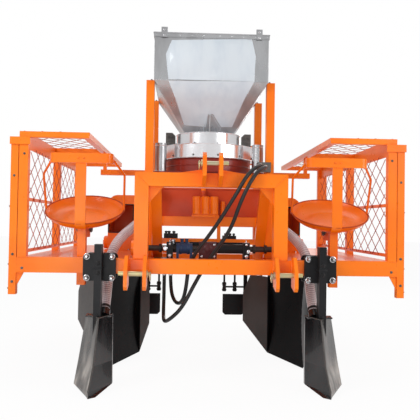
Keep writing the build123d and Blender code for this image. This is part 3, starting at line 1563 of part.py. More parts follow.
def hose_ports():
    """Port block on the left rail, where both oil hoses end."""
    inner = RAIL_X - RAIL_WIDE / 2
    ends = (OIL_HOSE_FIRST[-1], OIL_HOSE_SECOND[-1])
    high = ends[0][0] + PORT_RADIUS
    front = ends[0][1] - PORT_RADIUS
    rear = ends[1][1] + PORT_RADIUS
    body = block(-inner, high, front, rear, PORT_BLOCK_BOTTOM, PORT_BLOCK_TOP)
    for x_at, y_at, z_at in ends:
        body += rod_z(x_at, y_at, z_at, PORT_BLOCK_BOTTOM, PORT_RADIUS)
    return [body]


SOURCES = {
    "main_beam": main_beam,
    "portal_frame": portal_frame,
    "upper_hitch_plates": upper_hitch,
    "upper_hitch_pin": upper_hitch_pin,
    "lower_hitch_plates": lower_hitch_plates,
    "lower_hitch_pins": lower_hitch_pins,
    "chassis_frame": chassis_frame,
    "platform_floors": platform_floors,
    "hopper_posts": hopper_posts,
    "hopper": hopper,
    "spreader_drum": spreader_drum,
    "drum_base": drum_base,
    "gate_brackets": gate_brackets,
    "outlet_spouts": outlet_chutes,
    "portal_stays": portal_stays,
    "cross_bars": cross_bars,
    "bar_fittings": bar_fittings,
    "shaft_guard": shaft_guard,
    "drive_gearbox": drive_gearbox,
    "tension_spring": tension_spring,
    "cage_posts": cage_posts,
    "wall_rails": wall_rails,
    "roof_frames": roof_frames,
    "outer_posts": outer_posts,
    "mesh_rising": mesh_rising,
    "mesh_falling": mesh_falling,
    "side_ties": side_ties,
    "seats": seats,
    "seat_posts": seat_posts,
    "clamp_plates": clamp_plates,
    "shanks": shanks,
    "share_boots": share_boots,
    "furrow_openers": furrow_openers,
    "opener_tails": opener_tails,
    "feed_boxes": feed_boxes,
    "front_roller_left": front_roller_left,
    "front_roller_right": front_roller_right,
    "rear_roller_left": rear_roller_left,
    "rear_roller_right": rear_roller_right,
    "gear_cases": gear_cases,
    "chain_guards": chain_guards,
    "cross_shaft": cross_shaft,
    "drive_motor": drive_motor,
    "gear_block": gear_block,
    "shaft_bearings": shaft_bearings,
    "press_wheel_left": press_wheel_left,
    "press_wheel_right": press_wheel_right,
    "wheel_arms": wheel_arms,
    "covering_plates": covering_plates,
    "feed_hose_left": feed_hose_left,
    "feed_hose_right": feed_hose_right,
    "oil_hose_first": oil_hose_first,
    "oil_hose_second": oil_hose_second,
    "hose_ports": hose_ports,
    "hose_bulkhead": hose_bulkhead,
}


def export_all():
    """Build every piece, centre the whole over the origin and write one file for each."""
    os.makedirs("parts", exist_ok=True)
    front_end = BOOT_SECTIONS[-1][2] - BOOT_WALL
    centre = Pos(0, -(front_end + REAR_END_Y) / 2, 0)
    for name, make in SOURCES.items():
        solids = [centre * solid for shape in make() for solid in shape.solids()]
        export_step(Compound(solids), f"parts/{name}.step")


export_all()
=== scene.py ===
"""Looks of a tractor-mounted sugarcane planter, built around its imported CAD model."""

import itertools
import logging
import math
import random
from dataclasses import dataclass
from enum import Enum
from functools import cache

import bmesh
import bpy
from mathutils import Matrix, Vector


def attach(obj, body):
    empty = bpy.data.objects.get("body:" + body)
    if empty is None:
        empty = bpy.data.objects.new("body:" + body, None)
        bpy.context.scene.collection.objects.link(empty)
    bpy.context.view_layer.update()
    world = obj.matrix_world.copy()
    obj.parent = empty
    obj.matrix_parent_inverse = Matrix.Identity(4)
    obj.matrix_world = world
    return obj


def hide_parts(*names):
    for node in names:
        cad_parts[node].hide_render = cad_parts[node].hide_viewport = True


LOG = logging.getLogger("planter")
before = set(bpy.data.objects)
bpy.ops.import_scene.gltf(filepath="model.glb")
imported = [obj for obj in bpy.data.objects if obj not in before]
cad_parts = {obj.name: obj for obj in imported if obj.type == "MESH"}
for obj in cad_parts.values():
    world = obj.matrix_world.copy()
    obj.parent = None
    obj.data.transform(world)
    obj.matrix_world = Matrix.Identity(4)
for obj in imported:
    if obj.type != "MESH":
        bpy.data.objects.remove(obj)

Point = tuple[float, float, float]
Rows = list[tuple[float, float]] | tuple
Colour = tuple[int, int, int]
Socket = bpy.types.NodeSocket
Inputs = bpy.types.NodeInputs
Outputs = bpy.types.NodeOutputs
Tree = bpy.types.NodeTree

WHITE = (1.0, 1.0, 1.0, 1.0)
FORWARD, BACK = (0, -1, 0), (0, 1, 0)
OUT = (1, 0, 0)
UP, DOWN = (0, 0, 1), (0, 0, -1)


def linear(*levels: int) -> tuple[float, float, float, float]:
    """Turn a screen colour into the linear values that a shader takes.

    Args:
        levels: Red, green and blue from 0 to 255.

    Returns:
        Linear red, green, blue and a full alpha.
    """
    shares = [level / 255 for level in levels]
    return *(share / 12.92 if share <= 0.04045 else ((share + 0.055) / 1.055) ** 2.4 for share in shares), 1.0


class Wiring:
    """Adds and links the nodes of one shader tree."""

    def __init__(self, tree: Tree) -> None:
        """Take the tree that is wired."""
        self.tree = tree

    def add(self, kind: str, values: dict | None = None, **settings: object) -> bpy.types.Node:
        """Add a node.

        Args:
            kind: Node type without its ShaderNode prefix.
            values: Input values by socket name or index.
            settings: Attributes of the node, such as an operation.

        Returns:
            The new node.
        """
        node = self.tree.nodes.new("ShaderNode" + kind)
        for name, value in settings.items():
            setattr(node, name, value)
        for name, value in (values or {}).items():
            node.inputs[name].default_value = value
        return node

    def link(self, source: object, target: Socket) -> None:
        """Link a socket to an input, or set the input to a plain value."""
        if isinstance(source, Socket):
            self.tree.links.new(source, target)
        else:
            target.default_value = source

    def math(self, operation: str, first: object, second: object = 0.0, clamp: bool = False) -> Socket:
        """Combine two numbers or sockets.

        Args:
            operation: The Math node's operation.
            first: A socket or a number.
            second: A socket or a number.
            clamp: Whether the result is held between 0 and 1.

        Returns:
            The socket with the result.
        """
        node = self.add("Math", operation=operation, use_clamp=clamp)
        self.link(first, node.inputs[0])
        self.link(second, node.inputs[1])
        return node.outputs[0]

    def noise(
        self, scale: object, detail: float = 4.0, roughness: float = 0.55, stretch: Point = (1, 1, 1)
    ) -> Socket:
        """Noise in the object's own space.

        Args:
            scale: Noise scale, a socket or a number.
            detail: Number of finer layers.
            roughness: Strength of the finer layers.
            stretch: Scale along each axis before the noise.

        Returns:
            The noise's value socket.
        """
        mapping = self.add("Mapping", {"Scale": stretch})
        self.link(self.add("TexCoord").outputs["Object"], mapping.inputs["Vector"])
        node = self.add("TexNoise", {"Detail": detail, "Roughness": roughness})
        self.link(mapping.outputs[0], node.inputs["Vector"])
        self.link(scale, node.inputs["Scale"])
        return node.outputs["Fac"]

    def ramp(self, value: Socket, low: float, high: float) -> Socket:
        """Spread a value smoothly over 0 to 1, from the limit that gives 0 to the one that gives 1."""
        node = self.add("MapRange", {"From Min": low, "From Max": high}, interpolation_type="SMOOTHSTEP")
        self.link(value, node.inputs["Value"])
        return node.outputs["Result"]

    def mix(self, share: object, first: object, second: object) -> Socket:
        """Mix two colours by the share of the second one; each is a socket or a plain value."""
        node = self.add("Mix", data_type="RGBA")
        for index, value in ((0, share), (6, first), (7, second)):
            self.link(value, node.inputs[index])
        return node.outputs[2]

    def axes(self, source: Socket) -> Outputs:
        """Split a vector into its X, Y and Z sockets."""
        parts = self.add("SeparateXYZ")
        self.link(source, parts.inputs[0])
        return parts.outputs

    def blend(self, share: Socket, first: bpy.types.Node, second: bpy.types.Node, output: str) -> None:
        """Send two shaders to an output, mixed by the share of the second one."""
        both = self.add("MixShader")
        for index, value in enumerate((share, first.outputs[0], second.outputs[0])):
            self.link(value, both.inputs[index])
        self.link(both.outputs[0], self.tree.nodes[output].inputs["Surface"])


class Effects:
    """The shader node groups that several finishes share, each built once."""

    @staticmethod
    def _group(name: str, inputs: dict, *outputs: str) -> tuple[Tree, Wiring, Outputs, Inputs]:
        """Make an empty group with its sockets.

        Args:
            name: The group's name.
            inputs: Default value by socket name, a number or a colour.
            outputs: Socket names, of which Color is a colour and the others are numbers.

        Returns:
            The group, its wiring, what it is given and what it gives.
        """
        tree = bpy.data.node_groups.new(name, "ShaderNodeTree")
        for title, value in inputs.items():
            kind = "NodeSocketColor" if isinstance(value, tuple) else "NodeSocketFloat"
            tree.interface.new_socket(name=title, in_out="INPUT", socket_type=kind).default_value = value
        for title in outputs:
            kind = "NodeSocketColor" if title == "Color" else "NodeSocketFloat"
            tree.interface.new_socket(name=title, in_out="OUTPUT", socket_type=kind)
        given, out = tree.nodes.new("NodeGroupInput"), tree.nodes.new("NodeGroupOutput")
        return tree, Wiring(tree), given.outputs, out.inputs

    @staticmethod
    @cache
    def edge_wear() -> Tree:
        """Mask of the edges, broken up by noise."""
        inputs = {"Width": 0.004, "Scale": 30.0, "Amount": 0.5}
        tree, wire, given, out = Effects._group("edge wear", inputs, "Mask")
        bevel = wire.add("Bevel", samples=4)
        wire.link(given["Width"], bevel.inputs["Radius"])
        dot = wire.add("VectorMath", operation="DOT_PRODUCT")
        wire.link(bevel.outputs[0], dot.inputs[0])
        wire.link(wire.add("NewGeometry").outputs["Normal"], dot.inputs[1])
        edge = wire.ramp(wire.math("SUBTRACT", 1.0, dot.outputs["Value"]), 0.02, 0.16)
        worn = wire.math("MULTIPLY", edge, wire.ramp(wire.noise(given["Scale"]), 0.42, 0.62))
        wire.link(wire.math("MULTIPLY", worn, given["Amount"], clamp=True), out["Mask"])
        return tree

    @staticmethod
    @cache
    def dust() -> Tree:
        """Mask of the dust that lies on what faces up."""
        tree, wire, given, out = Effects._group("settled dust", {"Scale": 9.0, "Amount": 0.3}, "Mask")
        up = wire.ramp(wire.axes(wire.add("NewGeometry").outputs["Normal"])["Z"], 0.2, 1.0)
        lying = wire.math("MULTIPLY", up, wire.ramp(wire.noise(given["Scale"]), 0.3, 0.75))
        wire.link(wire.math("MULTIPLY", lying, given["Amount"], clamp=True), out["Mask"])
        return tree

    @staticmethod
    @cache
    def mottle() -> Tree:
        """Slow drift between two shades of one colour, with finer blotches."""
        inputs = {"Light": (1, 1, 1, 1), "Deep": (0.5, 0.5, 0.5, 1), "Scale": 5.0}
        tree, wire, given, out = Effects._group("mottle", inputs, "Color")
        slow = wire.ramp(wire.noise(given["Scale"], 2.0), 0.3, 0.7)
        fine = wire.noise(wire.math("MULTIPLY", given["Scale"], 9.0), 5.0)
        share = wire.math("ADD", wire.math("MULTIPLY", slow, 0.7), wire.math("MULTIPLY", fine, 0.3))
        wire.link(wire.mix(share, given["Light"], given["Deep"]), out["Color"])
        return tree

    @staticmethod
    @cache
    def peel() -> Tree:
        """Height of the fine dimples of sprayed paint and cast metal."""
        tree, wire, given, out = Effects._group("peel", {"Scale": 300.0}, "Height")
        fine = wire.noise(given["Scale"], 1.0)
        broad = wire.noise(wire.math("MULTIPLY", given["Scale"], 0.04), 3.0)
        wire.link(wire.math("ADD", wire.math("MULTIPLY", fine, 0.35), broad), out["Height"])
        return tree

    @staticmethod
    @cache
    def brushed() -> Tree:
        """Fine lines left by the rolling or grinding of sheet metal, with soft smears."""
        tree, wire, given, out = Effects._group("brushed lines", {"Scale": 60.0}, "Height", "Smear")
        wire.link(wire.noise(given["Scale"], 3.0, 0.6, (0.25, 0.25, 14.0)), out["Height"])
        smear = wire.noise(wire.math("MULTIPLY", given["Scale"], 0.12), 3.0, 0.5, (1.0, 1.0, 0.5))
        wire.link(wire.ramp(smear, 0.3, 0.75), out["Smear"])
        return tree

    @staticmethod
    def place(wire: Wiring, tree: Tree, **values: object) -> Outputs:
        """Place a group in a material.

        Args:
            wire: Wiring of the material's tree.
            tree: The group.
            values: Input values by socket name in lower case.

        Returns:
            The output sockets of the group's node.
        """
        inputs = {name.capitalize(): value for name, value in values.items()}
        return wire.add("Group", inputs, node_tree=tree).outputs


@dataclass(frozen=True)
class Finish:
    """A procedural finish that drifts between a light and a deep shade."""

    name: str
    light: Colour
    deep: Colour

    def build(self) -> bpy.types.Material:
        """Build the finish's material."""
        material = bpy.data.materials.new(self.name)
        material.use_nodes = True
        self._wire(Wiring(material.node_tree), material.node_tree.nodes["Principled BSDF"].inputs)
        return material

    def _wire(self, wire: Wiring, shader: Inputs) -> None:
        """Wire the finish into its shader's inputs."""
        raise NotImplementedError

    def _shades(self, wire: Wiring, share: Socket) -> Socket:
        """Mix the two shades by the share of the deep one."""
        return wire.mix(share, linear(*self.light), linear(*self.deep))

    def _mottled(self, wire: Wiring, scale: float) -> Socket:
        """Mottle the two shades at a scale."""
        shades = {"light": linear(*self.light), "deep": linear(*self.deep)}
        return Effects.place(wire, Effects.mottle(), scale=scale, **shades)["Color"]

    @staticmethod
    def _relief(wire: Wiring, shader: Inputs, height: Socket, strength: float, distance: float) -> None:
        """Raise the surface by a height, with the bump's strength and its distance in metres."""
        bump = wire.add("Bump", {"Strength": strength, "Distance": distance})
        wire.link(height, bump.inputs["Height"])
        wire.link(bump.outputs[0], shader["Normal"])


@dataclass(frozen=True)
class PaintFinish(Finish):
    """Sprayed enamel over steel, dusty on top and worn along its edges."""

    edge: Colour
    roughness: float = 0.3
    coat: float = 0.5
    wear: float = 0.5
    dust: float = 0.12
    dusty: Colour = (196, 170, 140)
    bump: float = 0.06
    specular: float = 0.3

    def _wire(self, wire: Wiring, shader: Inputs) -> None:
        """Wire the paint into its shader's inputs."""
        wear = Effects.place(wire, Effects.edge_wear(), width=0.004, scale=38.0, amount=self.wear)["Mask"]
        dust = Effects.place(wire, Effects.dust(), scale=7.0, amount=self.dust)["Mask"]
        worn = wire.mix(wear, self._mottled(wire, 3.0), linear(*self.edge))
        wire.link(wire.mix(dust, worn, linear(*self.dusty)), shader["Base Color"])
        rough = wire.math("ADD", wire.math("MULTIPLY", wire.noise(45.0), 0.22), self.roughness - 0.1)
        wire.link(wire.math("ADD", rough, wire.math("MULTIPLY", dust, 0.5), clamp=True), shader["Roughness"])
        shader["Specular IOR Level"].default_value = self.specular
        shader["Coat Weight"].default_value = self.coat
        shader["Coat Roughness"].default_value = 0.12
        height = Effects.place(wire, Effects.peel(), scale=260.0)["Height"]
        self._relief(wire, shader, height, self.bump, 0.002)


@dataclass(frozen=True)
class SteelFinish(Finish):
    """Bare or plated metal with rolling lines and smears."""

    roughness: float = 0.28
    lines: float = 0.15
    scale: float = 60.0
    metallic: float = 1.0

    def _wire(self, wire: Wiring, shader: Inputs) -> None:
        """Wire the metal into its shader's inputs."""
        brushed = Effects.place(wire, Effects.brushed(), scale=self.scale)
        smear = brushed["Smear"]
        wire.link(self._shades(wire, smear), shader["Base Color"])
        rough = wire.math("ADD", wire.math("MULTIPLY", smear, 0.16), self.roughness - 0.06, clamp=True)
        wire.link(rough, shader["Roughness"])
        shader["Metallic"].default_value = self.metallic
        self._relief(wire, shader, brushed["Height"], self.lines, 0.001)


@dataclass(frozen=True)
class FilmFinish(Finish):
    """Pale plastic, wrinkled and see-through where its alpha is under one."""

    alpha: float = 1.0
    roughness: float = 0.35
    wrinkle: float = 0.25

    def _wire(self, wire: Wiring, shader: Inputs) -> None:
        """Wire the film into its shader's inputs."""
        creases = wire.noise(9.0, 3.0, 0.6, (1.0, 1.0, 0.35))
        share = wire.ramp(creases, 0.35, 0.7)
        wire.link(self._shades(wire, share), shader["Base Color"])
        rough = wire.math("ADD", wire.math("MULTIPLY", share, 0.2), self.roughness, clamp=True)
        wire.link(rough, shader["Roughness"])
        shader["Coat Weight"].default_value = 0.4
        if self.alpha < 1.0:
            cover = wire.math("ADD", wire.math("MULTIPLY", share, 0.15), self.alpha, clamp=True)
            wire.link(cover, shader["Alpha"])
        self._relief(wire, shader, creases, self.wrinkle, 0.006)


@dataclass(frozen=True)
class RubbedFinish(Finish):
    """Black enamel rubbed to bright steel on the faces that turn away from the machine's middle."""

    steel: Colour
    dull: Colour
    low: float = 0.04
    high: float = 0.25

    def _wire(self, wire: Wiring, shader: Inputs) -> None:
        """Wire the rubbed enamel into its shader's inputs."""
        place = wire.axes(wire.add("TexCoord").outputs["Object"])
        turn = wire.axes(wire.add("TexCoord").outputs["Normal"])
        facing = wire.math("MULTIPLY", wire.math("SIGN", place["X"]), turn["X"])
        outward = wire.ramp(facing, 0.25, 0.6)
        streaks = wire.ramp(wire.noise(9.0, 3.0, 0.5, (2.0, 2.0, 0.35)), 0.25, 0.75)
        lowness = wire.ramp(place["Z"], self.high, self.low)
        rubbed = wire.math("MULTIPLY", outward, wire.math("ADD", wire.math("MULTIPLY", streaks, 0.45), 0.5))
        lower = wire.math("ADD", wire.math("MULTIPLY", lowness, 0.78), 0.22)
        bright = wire.math("MULTIPLY", rubbed, lower, clamp=True)
        wear = Effects.place(wire, Effects.edge_wear(), width=0.005, scale=60.0, amount=0.8)["Mask"]
        steel = wire.mix(streaks, linear(*self.dull), linear(*self.steel))
        coloured = wire.mix(bright, self._mottled(wire, 5.0), steel)
        wire.link(wire.mix(wear, coloured, linear(*self.dull)), shader["Base Color"])
        wire.link(wire.math("MULTIPLY", bright, 0.55), shader["Metallic"])
        rough = wire.math("ADD", wire.math("MULTIPLY", bright, 0.22), 0.18)
        rough = wire.math("ADD", rough, wire.math("MULTIPLY", streaks, 0.12), clamp=True)
        wire.link(rough, shader["Roughness"])
        shader["Coat Weight"].default_value = 0.3
        self._relief(wire, shader, streaks, 0.12, 0.002)


@dataclass(frozen=True)
class TreadFinish(Finish):
    """Enamelled floor sheet with raised lozenges that lie crosswise by turns."""

    dusty: Colour = (206, 178, 148)
    pitch: float = 110.0

    def _wire(self, wire: Wiring, shader: Inputs) -> None:
        """Wire the floor sheet into its shader's inputs."""
        place = wire.axes(wire.add("TexCoord").outputs["Object"])
        waves = []
        for way in ("ADD", "SUBTRACT"):
            across = wire.math(way, place["X"], place["Y"])
            waves.append(wire.math("SINE", wire.math("MULTIPLY", across, self.pitch)))
        lozenge = wire.ramp(wire.math("ABSOLUTE", wire.math("MULTIPLY", *waves)), 0.55, 0.8)
        dust = Effects.place(wire, Effects.dust(), scale=6.0, amount=0.1)["Mask"]
        hollow = wire.math("MULTIPLY", dust, wire.math("SUBTRACT", 1.0, lozenge))
        wire.link(wire.mix(hollow, self._mottled(wire, 3.0), linear(*self.dusty)), shader["Base Color"])
        wire.link(wire.math("ADD", wire.math("MULTIPLY", dust, 0.4), 0.34), shader["Roughness"])
        shader["Coat Weight"].default_value = 0.3
        self._relief(wire, shader, lozenge, 0.5, 0.002)


# A finish has its name and its light and deep shade. Paint then has the shade of its worn edges,
# and rubbed enamel the shades of bright and of dull steel.
ORANGE = PaintFinish("orange enamel", (253, 130, 12), (246, 112, 8), (176, 66, 26), coat=0.1, dust=0.02)
# Orange darkened towards red as painted shade: the recessed drive panel and the stub under the drum.
SHADED_ORANGE = PaintFinish(
    "shaded orange enamel", (200, 68, 24), (178, 56, 20), (140, 44, 20), roughness=0.42, coat=0.05
)
# Darker orange of the cage mesh; on the seat rims the same colour is painted shade.
MESH_AND_RIM_SHADE_RED = PaintFinish(
    "mesh and rim shade enamel", (206, 92, 40), (164, 60, 28), (110, 40, 24),
    roughness=0.5, coat=0.0, dust=0.0, specular=0.15,
)
# Red-orange paint darkened as painted shade, for the drum base seen from below in the drum's shadow.
SHADED_RED = PaintFinish("shaded red enamel", (150, 42, 26), (118, 32, 22), (84, 24, 18), coat=0.2, dust=0.08)
BLACK = PaintFinish(
    "black enamel", (22, 22, 24), (12, 12, 14), (50, 47, 45),
    coat=0.03, wear=0.08, dust=0.0, bump=0.002, specular=0.03,
)
SATIN_BLACK = PaintFinish(
    "satin black enamel", (32, 32, 34), (20, 20, 22), (62, 58, 55),
    roughness=0.4, coat=0.05, dust=0.03, specular=0.16,
)
# Dark grey enamel lightened as painted reflection of the light on the flat tail plates; the boots' nose beads
# share it.
TAIL_SHEEN_GREY = PaintFinish(
    "tail sheen grey enamel", (80, 76, 74), (58, 55, 53), (120, 116, 110),
    roughness=0.36, coat=0.1, dust=0.03, specular=0.2,
)
BOOT_BLACK = RubbedFinish("rubbed black enamel", (26, 25, 27), (14, 14, 16), (206, 199, 192), (84, 79, 75))
TREAD = TreadFinish("tread sheet", (250, 122, 16), (236, 102, 14))
BLUE = PaintFinish(
    "blue enamel", (24, 50, 88), (16, 36, 66), (80, 80, 84), roughness=0.4, coat=0.1, dust=0.05
)
GEAR_RED = PaintFinish(
    "gear red enamel", (78, 28, 30), (54, 20, 24), (90, 70, 66), roughness=0.45, coat=0.1, dust=0.05
)
STAINLESS = SteelFinish("stainless sheet", (190, 191, 193), (150, 150, 152), roughness=0.3)
BRIGHT_STAINLESS = SteelFinish(
    "polished band", (246, 246, 248), (218, 218, 221), roughness=0.14, lines=0.05, scale=24.0, metallic=0.8
)
DARK_STEEL = SteelFinish("dark steel", (112, 110, 108), (78, 76, 74), roughness=0.45, metallic=0.8)
BARE_STEEL = SteelFinish("turned steel", (150, 148, 144), (112, 108, 102), roughness=0.35)
SHAFT_STEEL = SteelFinish("dark shaft", (66, 60, 57), (40, 37, 36), roughness=0.45, metallic=0.7)
ZINC = SteelFinish("yellow zinc", (214, 196, 132), (176, 172, 158), roughness=0.3)
CHROME = SteelFinish("bright zinc", (222, 222, 224), (176, 176, 180), roughness=0.16)
FILM = FilmFinish("protective film", (206, 213, 219), (194, 203, 212))
CLEAR_HOSE = FilmFinish("clear ribbed hose", (206, 194, 196), (160, 144, 150), alpha=0.62, roughness=0.16)
HOSE_RIB = FilmFinish("hose rib", (244, 238, 238), (222, 212, 214), alpha=0.95, roughness=0.14)
RUBBER = PaintFinish(
    "black rubber", (34, 34, 35), (24, 24, 25), (48, 47, 46), roughness=0.42, coat=0.1, wear=0.2, dust=0.05
)


class Palette:
    """Builds each finish once and keeps its material."""

    made: dict[str, bpy.types.Material] = {}

    @classmethod
    def material(cls, finish: Finish) -> bpy.types.Material:
        """Give the material of a finish, building it the first time."""
        if finish.name not in cls.made:
            cls.made[finish.name] = finish.build()
        return cls.made[finish.name]


class Slot(Enum):
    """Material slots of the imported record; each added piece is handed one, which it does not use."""

    ORANGE = "orange_paint"
    STAINLESS = "stainless"
    DARK = "dark_steel"
    BLACK = "black_paint"
    BARE = "bare_steel"
    BLUE = "blue_paint"
    RED = "red_paint"
    CLEAR = "clear_hose"
    RUBBER = "black_rubber"


def dress(finish: Finish, *nodes: str) -> None:
    """Give whole CAD nodes one finish, by the nodes' names."""
    for name in nodes:
        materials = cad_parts[name].data.materials
        materials.clear()
        materials.append(Palette.material(finish))
    LOG.info("%s on %s", finish.name, ", ".join(nodes))


def put(name: str, data: bpy.types.ID) -> bpy.types.Object:
    """Put a new object with its data into the scene."""
    made = bpy.data.objects.new(name, data)
    bpy.context.scene.collection.objects.link(made)
    return made


def radial(degrees: float) -> Vector:
    """Give the level way at an angle from the X axis."""
    return Vector((math.cos(math.radians(degrees)), math.sin(math.radians(degrees)), 0))


class Shape:
    """A mesh in the making, in millimetres from the portal's front face and the ground."""

    ROW_ORIGIN = 896.0
    SHARP_ANGLE = 38

    def __init__(self, seed: int = 1) -> None:
        """Start an empty mesh with its own seeded randomness."""
        self.mesh = bmesh.new()
        self.random = random.Random(seed)

    def block(self, low: Point, high: Point, round_off: float = 1.5) -> None:
        """Add a box with rounded edges between its lowest and its highest corner."""
        centre = (Vector(low) + Vector(high)) / 2
        size = Vector(high) - Vector(low)
        verts = bmesh.ops.create_cube(self.mesh, size=1.0)["verts"]
        for vert in verts:
            vert.co = Vector((vert.co.x * size.x, vert.co.y * size.y, vert.co.z * size.z)) + centre
        self._round(verts, round_off)

    def _round(self, verts: list, round_off: float) -> None:
        """Round the edges between some vertices."""
        edges = list({edge for vert in verts for edge in vert.link_edges})
        bmesh.ops.bevel(self.mesh, geom=edges, offset=round_off, segments=2, profile=0.5, affect="EDGES")

    def slab(self, outline: list[Point], along: Point, round_off: float) -> None:
        """Add a plate with rounded edges.

        Args:
            outline: Corners of one face in order.
            along: From that face to the other one.
            round_off: Radius of the edges.
        """
        near = [self.mesh.verts.new(point) for point in outline]
        far = [self.mesh.verts.new(Vector(point) + Vector(along)) for point in outline]
        self.mesh.faces.new(near)
        self.mesh.faces.new(far[::-1])
        self._band(near, far)
        self._round(near + far, round_off)

    def _band(self, first: list, second: list) -> None:
        """Join two rings of the same number of vertices with faces."""
        for index in range(len(first)):
            after = (index + 1) % len(first)
            self.mesh.faces.new((first[index], first[after], second[after], second[index]))

    def _ring(self, centre: Vector, ways: tuple, radius: float, sides: int, turn: float = 0) -> list:
        """Add a ring of vertices.

        Args:
            centre: The ring's centre.
            ways: Way along the ring's axis and the way to its first vertex.
            radius: Radius of the ring.
            sides: Number of vertices.
            turn: Angle of the first vertex, in radians.

        Returns:
            The vertices in order.
        """
        side, up = ways[1], ways[0].cross(ways[1])
        ring = []
        for index in range(sides):
            angle = math.tau * index / sides + turn
            outward = (side * math.cos(angle) + up * math.sin(angle)) * radius
            ring.append(self.mesh.verts.new(centre + outward))
        return ring

    def _skin(self, rings: list[list], closed: bool = False) -> None:
        """Join rings in order, and cap both ends unless the last ring joins the first."""
        for first, second in zip(rings, rings[1:]):
            self._band(first, second)
        if closed:
            self._band(rings[-1], rings[0])
        else:
            self.mesh.faces.new(rings[0])
            self.mesh.faces.new(rings[-1][::-1])

    def lathe(
        self, start: Point, axis: Point, profile: Rows, sides: int = 24, closed: bool = False, turn: float = 0
    ) -> None:
        """Add a turned piece.

        Args:
            start: Where the axis starts.
            axis: Way along the axis.
            profile: Rows of distance along the axis and radius.
            sides: Number of sides.
            closed: Whether the profile closes on itself, as a ring's does.
            turn: Angle of the first side, in degrees.
        """
        forward = Vector(axis).normalized()
        ways = (forward, forward.orthogonal().normalized())
        rings = []
        for distance, radius in profile:
            centre = Vector(start) + forward * distance
            rings.append(self._ring(centre, ways, radius, sides, math.radians(turn)))
        self._skin(rings, closed)

    def hoop(
        self, centre: Point, axis: Point, radius: float, wire: float, sides: int, section: int = 6
    ) -> None:
        """Add a round wire hoop.

        Args:
            centre: The hoop's centre.
            axis: Way across its plane.
            radius: Radius of the hoop.
            wire: Radius of the wire.
            sides: Segments round the hoop.
            section: Segments round the wire.
        """
        angles = [math.tau * index / section for index in range(section)]
        rows = [(wire * math.sin(angle), radius + wire * math.cos(angle)) for angle in angles]
        self.lathe(centre, axis, rows, sides, closed=True)

    def fastener(self, place: Point, axis: Point, size: float, stud: float = 0.4) -> None:
        """Add a hexagon nut or head on its washer, with the end of its stud.

        Args:
            place: Point on the surface that it is screwed to.
            axis: Way out of that surface.
            size: Radius of the hexagon, which the other measures are shares of.
            stud: Share of the size that the stud stands out.
        """
        forward = Vector(axis).normalized()
        thick, tall = size * 0.22, size * 0.8
        self.lathe(place, axis, [(0, size * 1.32), (thick * 0.8, size * 1.32), (thick, size * 1.24)], 20)
        rows = [(0, size * 0.98), (tall * 0.12, size), (tall * 0.8, size), (tall, size * 0.84)]
        self.lathe(Vector(place) + forward * thick, axis, rows, 6, turn=self.random.uniform(0, 60))
        if stud > 0:
            rows = [(0, size * 0.52), (size * stud * 0.8, size * 0.52), (size * stud, size * 0.42)]
            self.lathe(Vector(place) + forward * (thick + tall), axis, rows, 12)

    def fasteners(self, places: tuple, axis: Point, size: float, stud: float = 0.4) -> None:
        """Add a fastener at each meeting of the x, y and z places, where x changes slowest."""
        for place in itertools.product(*places):
            self.fastener(place, axis, size, stud)

    def tube(self, points: list, radius: float | list[float], sides: int = 6) -> None:
        """Add a tube along points.

        Args:
            points: The points of its middle line.
            radius: Its radius, or the radius at each point.
            sides: Number of sides.
        """
        radii = radius if isinstance(radius, list) else [radius] * len(points)
        normal = None
        rings = []
        for index, point in enumerate(points):
            before = Vector(points[max(index - 1, 0)])
            after = Vector(points[min(index + 1, len(points) - 1)])
            forward = (after - before).normalized()
            normal = turned_on(forward, normal)
            rings.append(self._ring(Vector(point), (forward, normal), radii[index], sides))
        self._skin(rings)

    def bead(self, start: Point, end: Point, radius: float = 3.2, pitch: float = 5.0) -> None:
        """Add a weld bead with its ripples.

        Args:
            start: One end.
            end: The other end.
            radius: Mean radius of the bead.
            pitch: Distance between two rings of the mesh.
        """
        run = Vector(end) - Vector(start)
        count = max(3, int(run.length / pitch))
        points, radii = [], []
        for index in range(count + 1):
            drift = Vector([self.random.uniform(-0.4, 0.4) for _ in range(3)])
            points.append(Vector(start) + run * (index / count) + drift)
            ripple = 1.12 if index % 2 else 0.88
            radii.append(radius * ripple * self.random.uniform(0.92, 1.08))
        radii[0] = radii[-1] = radius * 0.5
        self.tube(points, radii)

    def mirrored(self) -> "Shape":
        """Add the mirror image across the centre plane and give the shape itself."""
        everything = [*self.mesh.verts, *self.mesh.edges, *self.mesh.faces]
        for item in bmesh.ops.duplicate(self.mesh, geom=everything)["geom"]:
            if isinstance(item, bmesh.types.BMVert):
                item.co.x = -item.co.x
        return self

    def piece(self, name: str, finish: Finish, slot: Slot, body: str = "frame") -> bpy.types.Object:
        """Turn the mesh into a piece that rides on a body.

        Args:
            name: The piece's name.
            finish: Its finish.
            slot: The record's material slot; not used.
            body: The CAD body it rides on.

        Returns:
            The new object.
        """
        for vert in self.mesh.verts:
            vert.co = Vector((vert.co.x, vert.co.y - self.ROW_ORIGIN, vert.co.z)) / 1000
        bmesh.ops.recalc_face_normals(self.mesh, faces=self.mesh.faces)
        data = bpy.data.meshes.new(name)
        self.mesh.to_mesh(data)
        self.mesh.free()
        data.shade_smooth()
        data.set_sharp_from_angle(angle=math.radians(self.SHARP_ANGLE))
        data.materials.append(Palette.material(finish))
        made = put(name, data)
        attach(made, body)
        LOG.info("%s has %d faces", name, len(data.polygons))
        return made


def turned_on(forward: Vector, normal: Vector | None) -> Vector:
    """Turn a line's sideways way on to its next direction without twist, or start it."""
    normal = forward.orthogonal().normalized() if normal is None else normal
    return (normal - forward * normal.dot(forward)).normalized()


